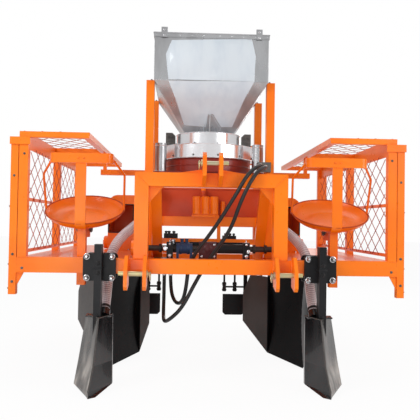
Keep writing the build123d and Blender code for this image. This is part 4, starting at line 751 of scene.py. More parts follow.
@dataclass
class Studio:
    """Floor, light, background and camera, in metres and degrees."""

    camera_place: Point = (-0.152, -4.191, 0.916)
    yaw: float = 2.49
    pitch: float = 1.31
    roll: float = 0.9
    lens: float = 50.57
    sensor: float = 36.0
    world_light: float = 0.42
    gloss: float = 0.6
    floor_size: float = 60.0
    floor_white: float = 0.94
    aim: Point = (0.0, 0.0, 0.9)
    # Name, place, diameter and power in watts of each lamp.
    lamps: tuple = (
        ("key", (-3.4, -3.8, 3.6), 2.2, 116.0),
        ("fill", (3.4, -3.4, 2.2), 2.6, 62.0),
        ("low", (-1.2, -4.6, 0.7), 1.6, 16.0),
        ("top", (0.0, 0.6, 5.0), 3.0, 50.0),
        ("back", (1.5, 4.5, 3.2), 2.4, 60.0),
    )

    def build(self) -> None:
        """Build the whole studio."""
        self._camera()
        self._world()
        self._lamps()
        self._floor()

    def _camera(self) -> None:
        """Stand the camera where the photograph was taken."""
        yaw, pitch, roll = (math.radians(turn) for turn in (self.yaw, self.pitch, self.roll))
        ahead = Vector((math.sin(yaw) * math.cos(pitch), math.cos(yaw) * math.cos(pitch), math.sin(pitch)))
        right = Vector((math.cos(yaw), -math.sin(yaw), 0.0))
        up = right.cross(ahead)
        right_leaning = right * math.cos(roll) + up * math.sin(roll)
        up_leaning = up * math.cos(roll) - right * math.sin(roll)
        camera = put("camera", bpy.data.cameras.new("camera"))
        camera.data.lens = self.lens
        camera.data.sensor_width = self.sensor
        columns = Matrix((right_leaning, up_leaning, -ahead)).transposed()
        camera.matrix_world = Matrix.Translation(self.camera_place) @ columns.to_4x4()
        bpy.context.scene.camera = camera

    def _seen(self, wire: Wiring) -> Socket:
        """Share of white for the camera, through glass and, in part, in gloss."""
        path = wire.add("LightPath").outputs
        straight = wire.math("MAXIMUM", path["Is Camera Ray"], path["Is Transmission Ray"])
        return wire.math("MAXIMUM", straight, wire.math("MULTIPLY", path["Is Glossy Ray"], self.gloss))

    def _world(self) -> None:
        """Light softly from everywhere, and show white to the camera, to gloss and to glass."""
        world = bpy.data.worlds.new("studio")
        world.use_nodes = True
        bpy.context.scene.world = world
        wire = Wiring(world.node_tree)
        lit = wire.add("Background", {"Color": WHITE, "Strength": self.world_light})
        white = wire.add("Background", {"Color": WHITE, "Strength": 1.0})
        wire.blend(self._seen(wire), lit, white, "World Output")

    def _lamps(self) -> None:
        """Hang the soft boxes."""
        for name, place, size, power in self.lamps:
            lamp = put(name, bpy.data.lights.new(name, "AREA"))
            lamp.data.shape = "DISK"
            lamp.data.size = size
            lamp.data.energy = power
            lamp.location = place
            lamp.rotation_mode = "QUATERNION"
            lamp.rotation_quaternion = (Vector(self.aim) - Vector(place)).to_track_quat("-Z", "Y")

    def _floor(self) -> None:
        """Lay the pale floor, which keeps the shadow."""
        mesh = bmesh.new()
        bmesh.ops.create_grid(mesh, x_segments=1, y_segments=1, size=self.floor_size / 2)
        data = bpy.data.meshes.new("floor")
        mesh.to_mesh(data)
        mesh.free()
        floor = put("floor", data)
        material = bpy.data.materials.new("pale floor")
        material.use_nodes = True
        wire = Wiring(material.node_tree)
        shader = material.node_tree.nodes["Principled BSDF"]
        shades = wire.mix(wire.noise(3.0), linear(252, 252, 252), linear(249, 249, 249))
        wire.link(shades, shader.inputs["Base Color"])
        shader.inputs["Roughness"].default_value = 0.8
        shader.inputs["Specular IOR Level"].default_value = 0.1
        glow = wire.add("Emission", {"Color": WHITE, "Strength": 1.0})
        share = wire.math("MULTIPLY", self._seen(wire), self.floor_white)
        wire.blend(share, shader, glow, "Material Output")
        data.materials.append(material)


@dataclass
class Hose:
    """A free hose that follows the route of its CAD solid, with its ribs and end pieces."""

    name: str
    node: str
    diameter: float
    length: float
    stiffness: str
    slot: Slot
    finish: Finish
    route: tuple[Point, ...]
    rib_pitch: float = 0.0
    rib_wire: float = 1.5
    rib_steps: int = 14
    ferrule: bool = True

    def build(self) -> None:
        data = self._curve()
        bare = bpy.data.objects.new(self.name + "_line", data.copy())
        points = [self._millimetres(vert.co) for vert in bpy.data.meshes.new_from_object(bare).vertices]
        bpy.data.objects.remove(bare)
        data.bevel_depth = self.diameter / 2
        data.materials.append(Palette.material(self.finish))
        hose = put(self.name, data)
        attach(hose, "frame")
        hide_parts(self.node)
        pieces = [self._end(points, "start"), self._end(points[::-1], "end")]
        if self.rib_pitch > 0:
            pieces.append(self._ribs(points))
        LOG.info("%s follows %d points", self.name, len(self.route))

    def _curve(self) -> bpy.types.Curve:
        """Make the hose's curve through its route, with no bevel yet."""
        data = bpy.data.curves.new(self.name, "CURVE")
        data.dimensions = "3D"
        data.bevel_resolution = 5
        data.resolution_u = 14
        data.use_fill_caps = True
        spline = data.splines.new("NURBS")
        spline.points.add(len(self.route) - 1)
        for point, place in zip(spline.points, self.route):
            point.co = (*place, 1.0)
        spline.order_u = 3
        spline.use_endpoint_u = True
        return data

    @staticmethod
    def _millimetres(point: Vector) -> Vector:
        """Turn a place in the frame's metres into the shapes' millimetres."""
        return Vector((point.x * 1000, point.y * 1000 + Shape.ROW_ORIGIN, point.z * 1000))

    def _ribs(self, line: list[Vector]) -> bpy.types.Object:
        """Wind the reinforcing helix round the hose's middle line."""
        radius = self.diameter * 500 - 0.3
        pitch = self.rib_pitch * 1000
        normal = None
        coil = []
        run = turned = 0.0
        for first, second in zip(line, line[1:]):
            step = second - first
            if step.length < 1e-6:
                continue
            forward = step.normalized()
            normal = turned_on(forward, normal)
            up = forward.cross(normal)
            while turned <= run + step.length:
                angle = math.tau * turned / pitch
                outward = (normal * math.cos(angle) + up * math.sin(angle)) * radius
                coil.append(first + step * ((turned - run) / step.length) + outward)
                turned += pitch / self.rib_steps
            run += step.length
        shape = Shape()
        shape.tube(coil, self.rib_wire, 4)
        return shape.piece(self.name + "_ribs", HOSE_RIB, self.slot)

    def _end(self, line: list[Vector], which: str) -> bpy.types.Object:
        """Put a clamp band or a crimped fitting on one end.

        Args:
            line: The hose's middle line from that end.
            which: Word for the end in the piece's name.

        Returns:
            The end piece.
        """
        start = line[0]
        onward = next(point for point in line if (point - start).length > self.diameter * 600)
        forward = (onward - start).normalized()
        radius = self.diameter * 500
        shape = Shape(3)
        if self.ferrule:
            rows = [(0, 0.8), (0, 1.15), (8, 1.2), (8, 1.3), (20, 1.3)]
            rows += [(24, 1.18), (34, 1.26), (44, 1.14), (50, 1.02)]
            shape.lathe(start, forward, [(along, radius * share) for along, share in rows], 20)
            return shape.piece(f"{self.name}_{which}_fitting", CHROME, Slot.DARK)
        rows = [(10, radius + 0.4), (10, radius + 2.4), (24, radius + 2.4), (24, radius + 0.4)]
        shape.lathe(start, forward, rows, 32, closed=True)
        side = forward.orthogonal().normalized()
        across = forward.cross(side)
        place = start + forward * 17 + side * (radius + 7)
        shape.lathe(place - across * 13, across, [(0, 5.5), (3, 6), (20, 6), (21, 4.5), (26, 4.5)], 14)
        return shape.piece(f"{self.name}_{which}_clamp", SATIN_BLACK, Slot.DARK)


# Routes of the free hoses in the frame's metres, point by point as in the part's source.
FEED_ROUTE = (
    (0.306, -0.471, 1.222),
    (0.306, -0.471, 1.030),
    (0.448, -0.476, 0.905),
    (0.543, -0.656, 0.812),
    (0.583, -0.747, 0.703),
    (0.588, -0.749, 0.541),
    (0.588, -0.867, 0.4245),
)
OIL_FIRST = (
    (0.305, -0.606, 1.270),
    (0.305, -0.776, 1.270),
    (0.205, -0.941, 1.212),
    (0.125, -0.948, 1.065),
    (0.007, -0.856, 0.868),
    (-0.120, -0.766, 0.700),
    (-0.137, -0.766, 0.512),
    (-0.1644, -0.6978, 0.4385),
    (-0.2032, -0.6013, 0.4385),
    (-0.2306, -0.5331, 0.5120),
    (-0.2306, -0.5331, 0.6400),
)
OIL_SECOND = (
    (0.335, -0.606, 1.262),
    (0.335, -0.766, 1.262),
    (0.240, -0.944, 1.207),
    (0.158, -0.954, 1.045),
    (0.112, -0.866, 0.880),
    (0.000, -0.768, 0.715),
    (-0.082, -0.776, 0.575),
    (-0.155, -0.796, 0.430),
    (-0.228, -0.756, 0.355),
    (-0.264, -0.651, 0.325),
    (-0.270, -0.551, 0.365),
    (-0.270, -0.496, 0.460),
    (-0.270, -0.496, 0.640),
)


@dataclass
class Hoses:
    """The two oil hoses over the portal bar and the clear feed hose at each side."""

    oil_diameter: float = 0.022
    feed_diameter: float = 0.058
    oil_first_length: float = 1.59
    oil_second_length: float = 1.87
    feed_length: float = 1.033
    feed_rib_pitch: float = 0.013

    def build(self) -> None:
        """Build the four hoses."""
        rows = (("first", self.oil_first_length, OIL_FIRST), ("second", self.oil_second_length, OIL_SECOND))
        for name, length, route in rows:
            look = (Slot.RUBBER, RUBBER, route)
            Hose("oil_line_" + name, "oil_hose_" + name, self.oil_diameter, length, "medium", *look).build()
        for node, side in (("feed_hose_left", -1), ("feed_hose_right", 1)):
            route = tuple((side * x, y, z) for x, y, z in FEED_ROUTE)
            look = (Slot.CLEAR, CLEAR_HOSE, route, self.feed_rib_pitch)
            hose = Hose(node + "_clear", node, self.feed_diameter, self.feed_length, "limp", *look)
            hose.ferrule = False
            hose.build()


@dataclass
class Portal:
    """Main beam, hitch portal, link plates and pins, with their welds."""

    half: float = 431.0
    tube: float = 78.0
    depth: float = 80.0
    top: float = 1198.0
    beam_top: float = 714.0
    beam_bottom: float = 630.0
    beam_half: float = 700.0
    beam_faces: tuple[float, float] = (3.0, 81.0)
    upper_plate: float = 45.0
    upper_half: float = 11.0
    lower_cheeks: tuple[float, float] = (361.5, 463.5)
    cheek_half: float = 10.0
    gusset: tuple[float, float] = (82.0, 96.0)
    gusset_faces: tuple[float, float] = (34.0, 46.0)

    def build(self) -> None:
        """Dress the hitch and lay its welds."""
        dress(ORANGE, "main_beam", "portal_frame", "upper_hitch_plates", "lower_hitch_plates", "portal_stays")
        dress(ZINC, "upper_hitch_pin", "lower_hitch_pins")
        self._seams()
        self._beam_ends()

    def _seams(self) -> None:
        """Lay the mitre seams and the welds of plates and gussets."""
        inner, under = self.half - self.tube, self.top - self.tube
        seams = Shape(11)
        for face in (-0.6, self.depth + 0.6):
            seams.bead((inner, face, under), (self.half, face, self.top), 2.0)
            seams.bead((inner, face, self.beam_top), (self.half, face, self.beam_top), 3.4)
        wide, tall = self.gusset
        for face in self.gusset_faces:
            for near in ((inner - wide, face, under), (inner, face, under - tall)):
                seams.bead(near, (inner, face, under), 2.8)
        for edge in (self.upper_plate - self.upper_half, self.upper_plate + self.upper_half):
            seams.bead((edge, -1, under + 4), (edge, -1, self.top - 2), 3.6)
        for cheek in self.lower_cheeks:
            for edge in (cheek - self.cheek_half, cheek + self.cheek_half):
                seams.bead((edge, -1, self.beam_bottom + 4), (edge, -1, self.beam_top - 2), 4.0)
        seams.mirrored().piece("portal_welds", ORANGE, Slot.ORANGE)

    def _beam_ends(self) -> None:
        """Close both beam ends with welded caps."""
        caps = Shape(12)
        end, low, high = self.beam_half, self.beam_bottom + 2, self.beam_top - 2
        front, back = self.beam_faces
        caps.block((end - 1, front, low + 1), (end + 4, back, high - 1))
        for face in self.beam_faces:
            caps.bead((end, face, low), (end, face, high), 2.4)
        for z_at in (high, low):
            caps.bead((end, front, z_at), (end, back, z_at), 2.4)
        caps.mirrored().piece("beam_end_caps", ORANGE, Slot.ORANGE)


@dataclass
class Chassis:
    """Rails, cross beams, platform floors and the posts that carry the hopper."""

    post_x: float = 373.0
    post_size: float = 50.0
    post_fronts: tuple[float, float] = (333.0, 952.0)
    post_top: float = 1790.0
    deck: float = 702.0
    floor: float = 707.0
    outer: float = 1124.0
    rear: float = 2000.0
    tool_bar: float = 1405.0
    cover_centres: tuple[float, float] = (-447.0, 280.0)
    panel_half: float = 344.0

    def build(self) -> None:
        """Dress the chassis and add its feet, caps and fasteners."""
        dress(ORANGE, "chassis_frame", "hopper_posts", "cross_bars", "side_ties")
        dress(TREAD, "platform_floors")
        self._posts()
        self._rail_bolts()
        self._shackles()
        self._panel()

    def _posts(self) -> None:
        """Give each hopper post a foot plate with bolts, and a cap with a bolt into the hopper's bend."""
        plates, bolts, caps, tops = (Shape(seed) for seed in range(21, 25))
        low, high = self.post_x - self.post_size / 2, self.post_x + self.post_size / 2
        for front in self.post_fronts:
            back = front + self.post_size
            plates.block((high, front - 26, self.floor), (high + 34, back + 26, self.floor + 8))
            plates.bead((high + 1, front, self.floor + 9), (high + 1, back, self.floor + 9), 3.4)
            for y_at in (front - 1, back + 1):
                plates.bead((low, y_at, self.floor + 2), (high, y_at, self.floor + 2), 3.4)
            bolts.fasteners(([high + 18], [front - 12, back + 12], [self.floor + 8]), UP, 9)
            caps.block((low, front - 1, self.post_top), (high + 1, back + 1, self.post_top + 4), 1.2)
            tops.fastener((self.post_x - 6, (front + back) / 2, self.post_top + 4), UP, 8)
        plates.mirrored().piece("post_feet", ORANGE, Slot.ORANGE)
        bolts.mirrored().piece("post_foot_bolts", CHROME, Slot.DARK)
        caps.mirrored().piece("post_caps", ORANGE, Slot.ORANGE)
        tops.mirrored().piece("post_top_bolts", DARK_STEEL, Slot.DARK)

    def _rail_bolts(self) -> None:
        """Bolt the side rails and the rear beam."""
        bolts = Shape(25)
        bolts.fasteners(([self.outer], range(330, 1960, 260), [self.deck - 44]), OUT, 8)
        bolts.fasteners(((150, 520, 700, 980), [self.rear], [self.deck - 44]), BACK, 9)
        bolts.mirrored().piece("rail_bolts", CHROME, Slot.DARK)

    def _shackles(self) -> None:
        """Hang the covering plates from the tool bar by shackles."""
        shackles = Shape(26)
        low, front, back = self.deck - 88, self.tool_bar - 7, self.tool_bar + 67
        for centre in self.cover_centres:
            for x_at in (centre - 46, centre + 46):
                corners = ((front, low - 22), (front, low + 56), (back, low + 56), (back, low - 22))
                shackles.tube([(x_at, y_at, z_at) for y_at, z_at in corners], 6.0, 10)
                shackles.fasteners(([x_at], [front, back], [low - 6]), DOWN, 10, 0.0)
        shackles.piece("tool_bar_shackles", CHROME, Slot.DARK)

    def _panel(self) -> None:
        """Face the drive panel between the front posts with a darker sheet, whose colour is painted shade of
        the recessed panel.
        """
        sheet = Shape(27)
        half = self.panel_half
        sheet.block((-half, 330.5, 958), (half, 333, 1131), 1.0)
        sheet.block((-half, 327, 1122), (half, 333, 1131), 1.2)
        sheet.piece("drive_panel_shade_sheet", SHADED_ORANGE, Slot.ORANGE)
        welds = Shape(28)
        for z_at in (822, 788):
            for x_at in (-285, 285):
                welds.bead((x_at, 332, z_at), (x_at, 383, z_at))
        for x_at in (-half - 1, half + 1):
            welds.bead((x_at, 322, 955), (x_at, 322, 898))
        welds.piece("cross_bar_welds", ORANGE, Slot.ORANGE)


@dataclass
class Cages:
    """Mesh cages round the operators and their outermost posts."""

    outer_post: tuple[float, float] = (1128.0, 1171.0)
    corner_post: tuple[float, float] = (1071.0, 1124.0)
    front: float = 198.0
    rear: float = 2000.0
    deck: float = 702.0
    roof: float = 1407.0
    roof_inner: float = 717.0
    roof_bars: tuple[float, float] = (984.0, 1022.0)

    def build(self) -> None:
        """Dress the cages and add their bolts and welds."""
        dress(ORANGE, "cage_posts", "wall_rails", "roof_frames", "outer_posts")
        dress(MESH_AND_RIM_SHADE_RED, "mesh_rising", "mesh_falling")
        self._bolts()
        self._welds()

    def _bolts(self) -> None:
        """Bolt the outermost posts and the corner posts from the front and the side."""
        bolts = Shape(31)
        corner, outer = sum(self.corner_post) / 2 - 4, sum(self.outer_post) / 2
        rows = ((corner, 1310, 5.5), (corner, 640, 6), (outer, 1180, 5.5), (outer, 720, 6), (outer, 560, 6))
        for x_at, z_at, size in rows:
            bolts.fastener((x_at, self.front, z_at), FORWARD, size, 0.2)
        bolts.fasteners(([self.outer_post[1]], [self.front + 21], (520, 660, 1000, 1380)), OUT, 7)
        bolts.mirrored().piece("cage_bolts", DARK_STEEL, Slot.DARK)

    def _welds(self) -> None:
        """Lay the welds where posts, rails and roof bars meet."""
        welds = Shape(32)
        low, high = self.corner_post
        face = self.front - 0.5
        for z_at in (self.deck, self.roof):
            welds.bead((low, face, z_at), (high, face, z_at), 2.6)
            welds.bead((high + 0.5, self.rear - 40, z_at), (high + 0.5, self.rear, z_at), 2.6)
            welds.bead((high - 80, self.rear + 0.5, z_at), (high, self.rear + 0.5, z_at), 2.6)
        for y_at in self.roof_bars:
            for x_at in (self.roof_inner + 38, high - 38):
                welds.bead((x_at, y_at, self.roof + 34), (x_at, y_at, self.roof + 1), 2.4)
        welds.bead((1084, face, 614), (self.outer_post[0], face, 614), 2.8)
        welds.mirrored().piece("cage_welds", ORANGE, Slot.ORANGE)


@dataclass
class Seats:
    """Pressed pan seats with their backrests and guard rods."""

    centre: Point = (774.0, 440.0, 994.0)
    radius: float = 244.0
    tilt: float = 22.4
    bar_x: float = 765.0
    bar_front: float = 207.0
    band_z: float = 1291.0
    spring: Point = (770.0, 410.0, 862.0)

    def build(self) -> None:
        """Dress the seats and add rim, bolts and springs."""
        dress(ORANGE, "seats", "seat_posts")
        turn = math.radians(self.tilt)
        axis = (0.0, -math.sin(turn), math.cos(turn))
        rim = Shape(41)
        rim.hoop(self.centre, axis, self.radius - 1.5, 4.6, 72, 8)
        # The rim's darker red is painted shade on the pan's edge.
        rim.mirrored().piece("seat_rims", MESH_AND_RIM_SHADE_RED, Slot.ORANGE)
        bolts = Shape(42)
        for x_at in (self.bar_x - 16, self.bar_x + 16):
            bolts.fastener((x_at, self.bar_front - 5, self.band_z), FORWARD, 6, 0.0)
            bolts.fastener((x_at, 300, 880), UP, 7)
        for x_at in (self.centre[0] - 17, self.centre[0] + 17):
            for offset in (-20, 20):
                bolts.fastener((x_at, self.centre[1] + offset, 926 + offset * 0.41), axis, 7)
        bolts.mirrored().piece("seat_bolts", ORANGE, Slot.ORANGE)
        under = Shape(43)
        middle, y_at, low = self.spring
        for x_at in (middle - 40, middle + 40):
            under.lathe((x_at, y_at, low), UP, [(0, 9), (4, 11), (40, 11), (44, 9)], 14)
            under.fastener((x_at, y_at, low), DOWN, 9)
        under.block((722, 392, 866), (822, 428, 872))
        under.mirrored().piece("seat_springs", DARK_STEEL, Slot.DARK)


@dataclass
class Hopper:
    """Stainless hopper with its protective film, the drum below it and its outlets."""

    half: float = 348.0
    front: float = 287.0
    rear: float = 1015.0
    top: float = 2077.0
    bend: float = 1787.0
    funnel: float = 1500.0
    funnel_half: float = 160.0
    drum_y: float = 650.0
    # Radius, underside and top of the drum's tiers and of its base.
    upper: tuple[float, float, float] = (212.0, 1416.0, 1500.0)
    lower: tuple[float, float, float] = (298.0, 1326.0, 1416.0)
    base: tuple[float, float, float] = (282.0, 1236.0, 1326.0)
    # Corners of the film on the front wall, across and up.
    wall_film: tuple = (
        (-245, 2031), (245, 2052), (258, 1996), (271, 1941), (266, 1868),
        (264, 1790), (-262, 1790), (-272, 1868), (-280, 1944), (-262, 1990),
    )
    # Corners of the film on the front slope, across, back and up.
    slope_film: tuple = (
        (-262, 290, 1783), (-215, 363, 1680), (-163, 461, 1542), (-22, 467, 1533), (-13, 414, 1607),
        (19, 414, 1608), (74, 465, 1535), (144, 464, 1536), (208, 356, 1689), (264, 281, 1795),
    )
    # Points of the film's torn edge on the slope, across and up.
    torn_edge: tuple = (
        (-40, 1500), (-36, 1545), (-14, 1600), (-2, 1606), (16, 1600), (52, 1548), (70, 1530), (66, 1512),
    )
    film_thick: float = 1.6
    rivet: tuple = ((0, 3.4), (1.4, 3.2), (2.2, 1.6))

    def build(self) -> None:
        """Dress the stainless pieces and add film, seams, lips and fasteners."""
        dress(STAINLESS, "hopper", "outlet_spouts")
        dress(BRIGHT_STAINLESS, "spreader_drum")
        dress(DARK_STEEL, "gate_brackets")
        # The drum base is red-orange paint darkened by painted shade beneath the drum.
        dress(SHADED_RED, "drum_base")
        self._film()
        self._seams()
        self._rim()
        self._drum()
        self._gates()

    def _film(self) -> None:
        """Lay the pale film over the front wall and the front slope."""
        film = Shape(51)
        film.slab([(x, self.front - 0.2, z) for x, z in self.wall_film], (0, -self.film_thick, 0), 0.5)
        run = Vector((0, self.drum_y - self.funnel_half - self.front, self.funnel - self.bend)).normalized()
        out = Vector((0, run.z, -run.y))
        placed = []
        for x, y, z in self.slope_film:
            along = max(Vector((0, y - self.front, z - self.bend)).dot(run), -4.0)
            placed.append(Vector((x, self.front, self.bend)) + run * along + out * 0.2)
        film.slab(placed, out * self.film_thick, 0.5)
        film.piece("hopper_film", FILM, Slot.STAINLESS)
        torn = Shape(52)
        points = []
        for x, z in self.torn_edge:
            points.append(Vector((x, self.front, self.bend)) + run * ((z - self.bend) / run.z) + out * 2.0)
        for pair in zip(points, points[1:]):
            torn.tube(pair, 1.4)
        torn.piece("film_torn_edge", FILM, Slot.STAINLESS)

    def _seams(self) -> None:
        """Run the welded corner seams and bends."""
        seams = Shape(53)
        half, low_half = self.half, self.funnel_half
        for high_y, low_y in ((self.front, self.drum_y - low_half), (self.rear, self.drum_y + low_half)):
            seams.bead((half, high_y, self.top - 28), (half, high_y, self.bend), 1.8, 8.0)
            seams.bead((half, high_y, self.bend), (low_half, low_y, self.funnel), 1.8, 8.0)
        seams.bead((half + 0.3, self.front, self.bend), (half + 0.3, self.rear, self.bend), 1.5, 12.0)
        for y_at in (self.front - 0.3, self.rear + 0.3):
            seams.bead((0, y_at, self.bend), (half, y_at, self.bend), 1.2, 12.0)
        seams.mirrored().piece("hopper_seams", STAINLESS, Slot.STAINLESS)

    def _rim(self) -> None:
        """Fold the rim, set its rivets and bolt the tabs that stand on it."""
        rim = Shape(54)
        low, out = self.top - 2, self.half + 6
        front, rear = self.front - 6, self.rear + 6
        for y_at in (front, rear):
            rim.tube([(0, y_at, low), (out, y_at, low)], 3.6, 8)
        rim.tube([(out, front, low), (out, rear, low)], 3.6, 8)
        for x_at in range(50, 340, 72):
            for y_at, way in ((front, FORWARD), (rear, BACK)):
                rim.lathe((x_at, y_at, self.top - 16), way, self.rivet, 12)
        for y_at in range(350, 1000, 90):
            rim.lathe((out, y_at, self.top - 16), OUT, self.rivet, 12)
        rim.mirrored().piece("hopper_rim_fold", STAINLESS, Slot.STAINLESS)
        tabs = Shape(55)
        tabs.fasteners(([290], [self.front - 11], [self.top - 20, self.top + 14]), FORWARD, 5, 0.0)
        tabs.mirrored().piece("hopper_tab_bolts", CHROME, Slot.DARK)

    def _hoops(self, shape: Shape, radius: float, wire: float, *heights: float) -> None:
        """Lay level hoops round the drum's axis at some heights."""
        for z_at in heights:
            shape.hoop((0, self.drum_y, z_at), UP, radius, wire, 96)

    def _drum(self) -> None:
        """Roll the drum's lips, clamp seams and base bolts."""
        lips = Shape(56)
        for radius, low, high in (self.upper, self.lower):
            self._hoops(lips, radius, 2.8, low + 3, high - 3)
        for angle in (-118, -62, 40, 150):
            place = Vector((0, self.drum_y, low + 4)) + radial(angle) * (radius + 0.5)
            lips.tube([place, place + Vector((0, 0, high - low - 8))], 1.6)
        lips.piece("drum_lips", BRIGHT_STAINLESS, Slot.STAINLESS)
        bolts = Shape(57)
        for angle in range(-170, 190, 30):
            way = radial(angle)
            bolts.fastener(Vector((0, self.drum_y, low + 18)) + way * radius, way, 5, 0.2)
            bolts.fastener(Vector((0, self.drum_y, high)) + way * (radius - 22), UP, 6)
        bolts.piece("drum_bolts", DARK_STEEL, Slot.DARK)
        ring = Shape(58)
        radius, low, high = self.base
        self._hoops(ring, radius, 3.4, low + 5, low + 46, high - 6)
        # The base hoops carry the same painted shade as the drum base.
        ring.piece("drum_base_hoops", SHADED_RED, Slot.ORANGE)

    def _gates(self) -> None:
        """Fit slots and screws to the gate brackets, and straps to the spouts."""
        fittings = Shape(59)
        inner, front = 218.0, self.drum_y - 46
        fittings.block((inner + 16, front - 4, 1452), (inner + 58, front, 1462), 1.0)
        fittings.fasteners(([inner + 24, inner + 48], [front - 4], [1484]), FORWARD, 6)
        fittings.fastener((inner + 40, front - 2, 1436), FORWARD, 7)
        fittings.mirrored().piece("gate_fittings", DARK_STEEL, Slot.DARK)
        straps = Shape(60)
        for z_at in (1240.0, 1400.0):
            straps.hoop((306, 425, z_at), UP, 37.0, 2.4, 40)
        straps.mirrored().piece("spout_straps", BRIGHT_STAINLESS, Slot.STAINLESS)


@dataclass
class SoilTools:
    """Clamps, shanks, share boots, furrow openers and covering plates."""

    row: float = 615.0
    clamp_half: float = 90.0
    clamp_low: float = 591.0
    clamp_high: float = 741.0
    bolt_inset: float = 22.0
    shank_front: float = -78.0
    opener_nose: float = 440.0
    opener_low: float = 6.0
    opener_high: float = 560.0
    nose_bow: float = 75.0
    wing: float = 163.0
    # Height of each section of a boot, its nose across and back, its rear, and its half widths in and out.
    boots: tuple = ((400, -14, -106, 62, 72, 75), (150, 5, -140, 40, 77, 110), (30, 20, -200, 10, 82, 126))
    # Centre across of each covering plate and the side that its stem stands on.
    covers: tuple = ((-447, -1), (280, 1))

    def build(self) -> None:
        """Dress the soil tools and add nuts, bolts and beads."""
        dress(SATIN_BLACK, "clamp_plates", "shanks", "covering_plates")
        dress(BLACK, "furrow_openers")
        # The tails' grey is partly painted reflection of the light on the flat plates.
        dress(TAIL_SHEEN_GREY, "opener_tails")
        dress(BOOT_BLACK, "share_boots")
        self._clamps()
        self._boots()
        self._openers()
        self._covers()

    def _clamps(self) -> None:
        """Turn the bright nuts and washers onto the clamp plates."""
        nuts = Shape(61)
        reach = self.clamp_half - self.bolt_inset
        sides = (self.row - reach, self.row + reach)
        for x_at, z_at in itertools.product(sides, (self.clamp_low + 16, self.clamp_high - 16)):
            for face, way in ((-29.0, FORWARD), (113.0, BACK)):
                nuts.lathe((x_at, face, z_at), way, [(-9, 17), (-7, 17.5), (-6, 16)])
                rows = [(-1, 12), (2, 12), (5, 10), (5.5, 7), (12, 7), (14, 5)]
                nuts.lathe((x_at, face, z_at), way, rows, 16)
        nuts.mirrored().piece("clamp_nuts", CHROME, Slot.DARK)
        shank = Shape(62)
        shank.fasteners(([self.row], [self.shank_front], (640, 692)), FORWARD, 10, 0.2)
        shank.block((self.row - 24, self.shank_front - 2, 660), (self.row + 24, -16, 672), 2.0)
        shank.fasteners(([self.row], [self.shank_front], (370, 410)), FORWARD, 8, 0.2)
        shank.mirrored().piece("shank_bolts", SATIN_BLACK, Slot.BLACK)

    def _boots(self) -> None:
        """Lay the nose beads and the top edge beads of the share boots."""
        beads = Shape(63)
        noses = [Vector((self.row + nose_x, nose_y - 0.5, z_at)) for z_at, nose_x, nose_y, *_ in self.boots]
        for first, second in zip(noses, noses[1:]):
            beads.bead(first, second, 4.0)
        top, _, front, rear, inwards, outwards = self.boots[0]
        shoulder = front + (rear - front) * 0.86
        for reach in (-inwards, outwards):
            beads.bead(noses[0], Vector((self.row + reach, shoulder, top)), 2.6)
        beads.mirrored().piece("boot_nose_beads", TAIL_SHEEN_GREY, Slot.BLACK)

    def _openers(self) -> None:
        """Bead the openers' noses and wing ends, and bolt their legs."""
        beads = Shape(64)
        for low, high in zip(range(12, 520, 45), range(57, 565, 45)):
            beads.bead((self.row, self._nose(low), low), (self.row, self._nose(high), high), 4.0)
        for x_at in (self.row - self.wing, self.row + self.wing):
            beads.bead((x_at, 899, 16), (x_at, 899, 552))
        beads.mirrored().piece("opener_beads", BLACK, Slot.BLACK)
        bolts = Shape(65)
        for z_at in (500, 560, 600):
            for side in (-1, 1):
                bolts.fastener((self.row + side * 40, 760, z_at), (side, 0, 0), 9)
        bolts.mirrored().piece("opener_leg_bolts", CHROME, Slot.DARK)

    def _nose(self, height: float) -> float:
        """Give how far back the opener's bowed nose lies at a height."""
        middle = (self.opener_low + self.opener_high) / 2
        share = (height - middle) / (self.opener_high - middle)
        return self.opener_nose + self.nose_bow * (1 - share * share) - 1

    def _covers(self) -> None:
        """Put nuts on the covering plates' studs."""
        nuts = Shape(66)
        rows = [(0, 20), (3, 20), (3, 17), (14, 17), (18, 12)]
        for centre, side in self.covers:
            for reach in (102, 18):
                for z_at, way in ((430, UP), (392, DOWN)):
                    nuts.lathe((centre - side * reach, 1448, z_at), way, rows, 18)
        nuts.piece("cover_nuts", SATIN_BLACK, Slot.BLACK)


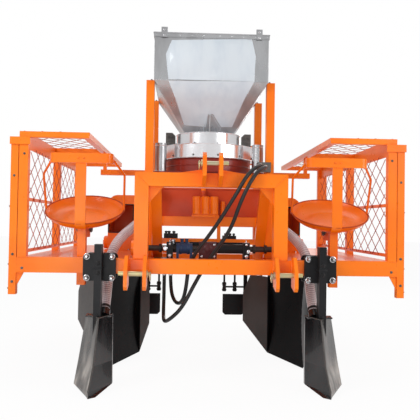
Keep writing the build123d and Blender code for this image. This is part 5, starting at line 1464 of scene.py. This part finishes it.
@dataclass
class Drive:
    """Cross shaft, motor, gear block, bearings and the gear motor on the panel."""

    y_at: float = 238.0
    z_at: float = 765.0
    motor: tuple[float, float] = (-196.0, -100.0)
    block: tuple[float, float] = (-61.0, 45.0)
    bearings: tuple[float, float] = (-235.0, 222.0)
    gearbox: tuple[float, float] = (-103.0, 53.0)
    gearbox_tubes: tuple[float, float, float] = (-79.0, -25.0, 29.0)
    collars: tuple[float, ...] = (-300.0, 120.0, 262.0, 330.0)
    guard_x: float = 445.0
    # Place across, height and radius of each valve knob.
    knobs: tuple = (
        (-262, 852, 9), (-244, 852, 11), (-214, 852, 10), (104, 842, 8), (132, 842, 10), (156, 842, 8),
    )

    def build(self) -> None:
        """Dress the drive and add its fittings."""
        dress(BARE_STEEL, "front_roller_left", "front_roller_right", "rear_roller_left", "rear_roller_right")
        dress(SHAFT_STEEL, "cross_shaft")
        dress(DARK_STEEL, "hose_ports", "hose_bulkhead")
        # The shaft guard's black is a dark backing behind the shaft, standing for the shade of the drive's
        # interior.
        dress(SATIN_BLACK, "bar_fittings", "shaft_guard", "shaft_bearings")
        dress(BLUE, "drive_motor")
        dress(GEAR_RED, "gear_block")
        dress(ORANGE, "drive_gearbox", "tension_spring", "chain_guards")
        self._motor()
        self._gearbox()
        self._guards()
        self._valves()

    def _motor(self) -> None:
        """Add the motor's bells and ports, the gear block's cover, the nipples and the shaft's collars."""
        bell = Shape(71)
        low, high = self.motor
        for x_at, way in ((low + 18, 1), (high - 18, -1)):
            rows = [(0, 33), (4, 35.5), (12, 35.5), (16, 33)]
            bell.lathe((x_at, self.y_at, self.z_at), (way, 0, 0), rows, 28)
        for x_at in (low + 34, high - 34):
            rows = [(0, 12), (8, 12), (9, 9), (20, 9), (21, 11), (30, 11)]
            bell.lathe((x_at, self.y_at, self.z_at + 28), UP, rows, 16)
        bell.piece("motor_bells", BLUE, Slot.BLUE)
        cover = Shape(72)
        start, end = self.block
        face = self.y_at - 38
        cover.block((start + 8, face, 712), (end - 8, face + 5, 798), 2.0)
        cover.lathe(((start + end) / 2, face, self.z_at), FORWARD, [(0, 26), (4, 26), (7, 22)], 28)
        cover.piece("gear_block_cover", GEAR_RED, Slot.RED)
        bolts = Shape(73)
        bolts.fasteners(((start + 16, end - 16), [face], (720, 790)), FORWARD, 5, 0.2)
        for centre in self.bearings:
            for z_at, size in ((722, 8), (792, 5)):
                bolts.fastener((centre, face + 5, z_at), FORWARD, size)
            rows = [(0, 6), (5, 6), (6, 3.5), (12, 3.5), (13, 4.5), (16, 2)]
            bolts.lathe((centre, self.y_at, 803), UP, rows, 12)
        bolts.piece("drive_bolts", CHROME, Slot.DARK)
        collars = Shape(74)
        for x_at in self.collars:
            rows = [(0, 17), (0, 24), (1.5, 26), (14.5, 26), (16, 24), (16, 17)]
            collars.lathe((x_at, self.y_at, self.z_at), OUT, rows, 28)
        collars.piece("shaft_collars", SHAFT_STEEL, Slot.BARE, "cross_shaft")

    def _gearbox(self) -> None:
        """Add lips, bolts and the coupling stub of the gear motor on the panel."""
        low, high = self.gearbox
        lips = Shape(75)
        lips.block((low - 4, 262, 955), (high + 4, 333, 967), 2.0)
        lips.block((low + 4, 264, 1064), (high - 4, 333, 1074), 2.0)
        for centre in self.gearbox_tubes:
            lips.lathe((centre, 268, 1072), UP, [(0, 24), (4, 24), (7, 19)], 28)
            lips.hoop((centre, 268, 1000), UP, 24.0, 1.6, 36)
        lips.piece("gear_motor_lips", ORANGE, Slot.ORANGE)
        bolts = Shape(76)
        for x_at in (low + 16, high - 12):
            bolts.fastener((x_at, 262, 961), FORWARD, 6, 0.0)
            bolts.fastener((x_at, 275, 967), UP, 8)
        bolts.piece("gear_motor_bolts", ORANGE, Slot.ORANGE)
        stub = Shape(77)
        stub.lathe((-37, 301, 1074), UP, [(0, 15), (0, 19), (6, 20), (16, 20), (20, 16)])
        stub.lathe((-37, 301, 1096), UP, [(0, 17), (2, 18), (16, 18), (20, 15)])
        # The stub takes the shaded orange, painted shade under the drum.
        stub.piece("coupling_stub", SHADED_ORANGE, Slot.ORANGE)

    def _guards(self) -> None:
        """Seam and bolt the chain guards."""
        seam, bolts = Shape(78), Shape(79)
        for z_at in (809.5, 720.5):
            seam.tube([(self.guard_x, 242, z_at), (self.guard_x, 1146, z_at)], 2.2)
        for y_at, z_at in itertools.product(range(300, 1130, 120), (796, 734)):
            for side in (1, -1):
                bolts.fastener((self.guard_x + side * 17, y_at, z_at), (side, 0, 0), 5, 0.0)
        seam.mirrored().piece("chain_guard_seams", ORANGE, Slot.ORANGE)
        bolts.mirrored().piece("chain_guard_bolts", CHROME, Slot.DARK)

    def _valves(self) -> None:
        """Put knobs, ports and screws on the valve bodies of the lower bar."""
        knobs = Shape(80)
        for x_at, z_at, size in self.knobs:
            rows = [(0, size * 0.7), (4, size * 0.7), (5, size), (12, size), (15, size * 0.7)]
            knobs.lathe((x_at, 352, z_at), UP, rows, 14)
        knobs.fasteners(((-250, -226, 108, 146), [333], [834]), FORWARD, 7)
        knobs.piece("valve_knobs", SATIN_BLACK, Slot.BLACK)
        lumps = Shape(81)
        lumps.lathe((-216, 268, 790), UP, [(0, 12), (14, 12), (16, 15), (26, 15), (30, 8)], 16)
        lumps.lathe((-262, 214, 765), FORWARD, [(0, 14), (10, 14), (12, 10), (20, 10)], 16)
        lumps.lathe((232, 204, 752), FORWARD, [(0, 12), (8, 12), (10, 9), (18, 9)], 6)
        lumps.piece("drive_fittings", CHROME, Slot.DARK)


@dataclass
class FeedBoxes:
    """Cane feed boxes with their gear cases."""

    row: float = 615.0
    half: float = 95.0
    front: float = 1060.0
    rear: float = 1370.0
    floor: float = 707.0
    lip: float = 840.0
    mouth_top: float = 1045.0
    rollers: tuple[float, float] = (1150.0, 1280.0)
    roller_z: float = 765.0
    case_face: float = 34.0

    def build(self) -> None:
        """Dress the boxes and add trim, bolts and caps."""
        dress(ORANGE, "feed_boxes", "gear_cases")
        self._trim()
        bolts = Shape(92)
        places = ((self.row - 60, self.row + 60), (self.front - 12, self.rear + 12), [self.floor + 5])
        bolts.fasteners(places, UP, 7)
        caps = Shape(93)
        face = self.row + self.half + self.case_face
        for y_at in self.rollers:
            for turn in range(0, 360, 60):
                way = radial(turn) * 34
                bolts.fastener((face, y_at + way.x, self.roller_z + way.y), OUT, 5, 0.0)
            caps.lathe((face, y_at, self.roller_z), OUT, [(0, 24), (3, 24), (5, 20), (9, 18), (11, 12)], 28)
        bolts.mirrored().piece("feed_box_bolts", CHROME, Slot.DARK)
        caps.mirrored().piece("gear_case_caps", ORANGE, Slot.ORANGE)

    def _trim(self) -> None:
        """Run the rubber trim round the mouths."""
        trim = Shape(91)
        low, high, y_at = self.row - self.half + 5, self.row + self.half - 5, self.front + 2.5
        for z_at in (self.lip, self.mouth_top):
            trim.tube([(low, y_at, z_at), (high, y_at, z_at)], 5.0, 10)
        for x_at in (low, high):
            trim.tube([(x_at, y_at, self.lip), (x_at, y_at, self.mouth_top)], 5.0, 10)
        trim.mirrored().piece("feed_box_trim", RUBBER, Slot.RUBBER)


@dataclass
class PressWheels:
    """Steel press wheels in their forks."""

    row: float = 615.0
    y_at: float = 1700.0
    radius: float = 205.0
    half: float = 65.0
    hub_bolt_circle: float = 48.0
    arm_half: float = 91.0

    def build(self) -> None:
        """Dress the wheels and forks and add rims, hub bolts and axle nuts."""
        dress(BLACK, "press_wheel_left", "press_wheel_right")
        dress(SATIN_BLACK, "wheel_arms")
        for side, name in ((-1, "left"), (1, "right")):
            self._wheel(side * self.row, "press_wheel_" + name)
        nuts = Shape(102)
        for side in (-1, 1):
            face = self.row + side * self.arm_half
            nuts.fastener((face, self.y_at, self.radius), (side, 0, 0), 22, 0.3)
            nuts.fastener((face, 1860, 470), (side, 0, 0), 12)
        nuts.mirrored().piece("axle_nuts", CHROME, Slot.DARK)

    def _wheel(self, centre: float, body: str) -> None:
        """Add one wheel's rim hoops and hub bolts, which turn with it.

        Args:
            centre: Where the wheel stands across the machine.
            body: The wheel's CAD body.
        """
        rims, bolts = Shape(100), Shape(101)
        for edge in (-1, 1):
            place = (centre + edge * (self.half - 3), self.y_at, self.radius)
            rims.hoop(place, OUT, self.radius - 6, 5.0, 72, 8)
            hub = (centre + edge * 5, self.y_at, self.radius)
            rims.lathe(hub, (edge, 0, 0), [(0, 60), (4, 60), (6, 56)], 32)
            for turn in range(15, 375, 60):
                way = radial(turn) * self.hub_bolt_circle
                place = (centre + edge * 11, self.y_at + way.x, self.radius + way.y)
                bolts.fastener(place, (edge, 0, 0), 6, 0.2)
        rims.piece(body + "_rims", BLACK, Slot.BLACK, body)
        bolts.piece(body + "_hub_bolts", CHROME, Slot.DARK, body)


def main() -> None:
    """Build the studio and the planter's looks."""
    logging.basicConfig(level=logging.INFO, format="%(name)s: %(message)s")
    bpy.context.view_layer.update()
    bpy.context.scene.view_settings.view_transform = "Standard"
    Studio().build()
    Hoses().build()
    for assembly in (Portal, Chassis, Cages, Seats, Hopper, SoilTools, Drive, FeedBoxes, PressWheels):
        assembly().build()


if __name__ == "__main__":
    main()
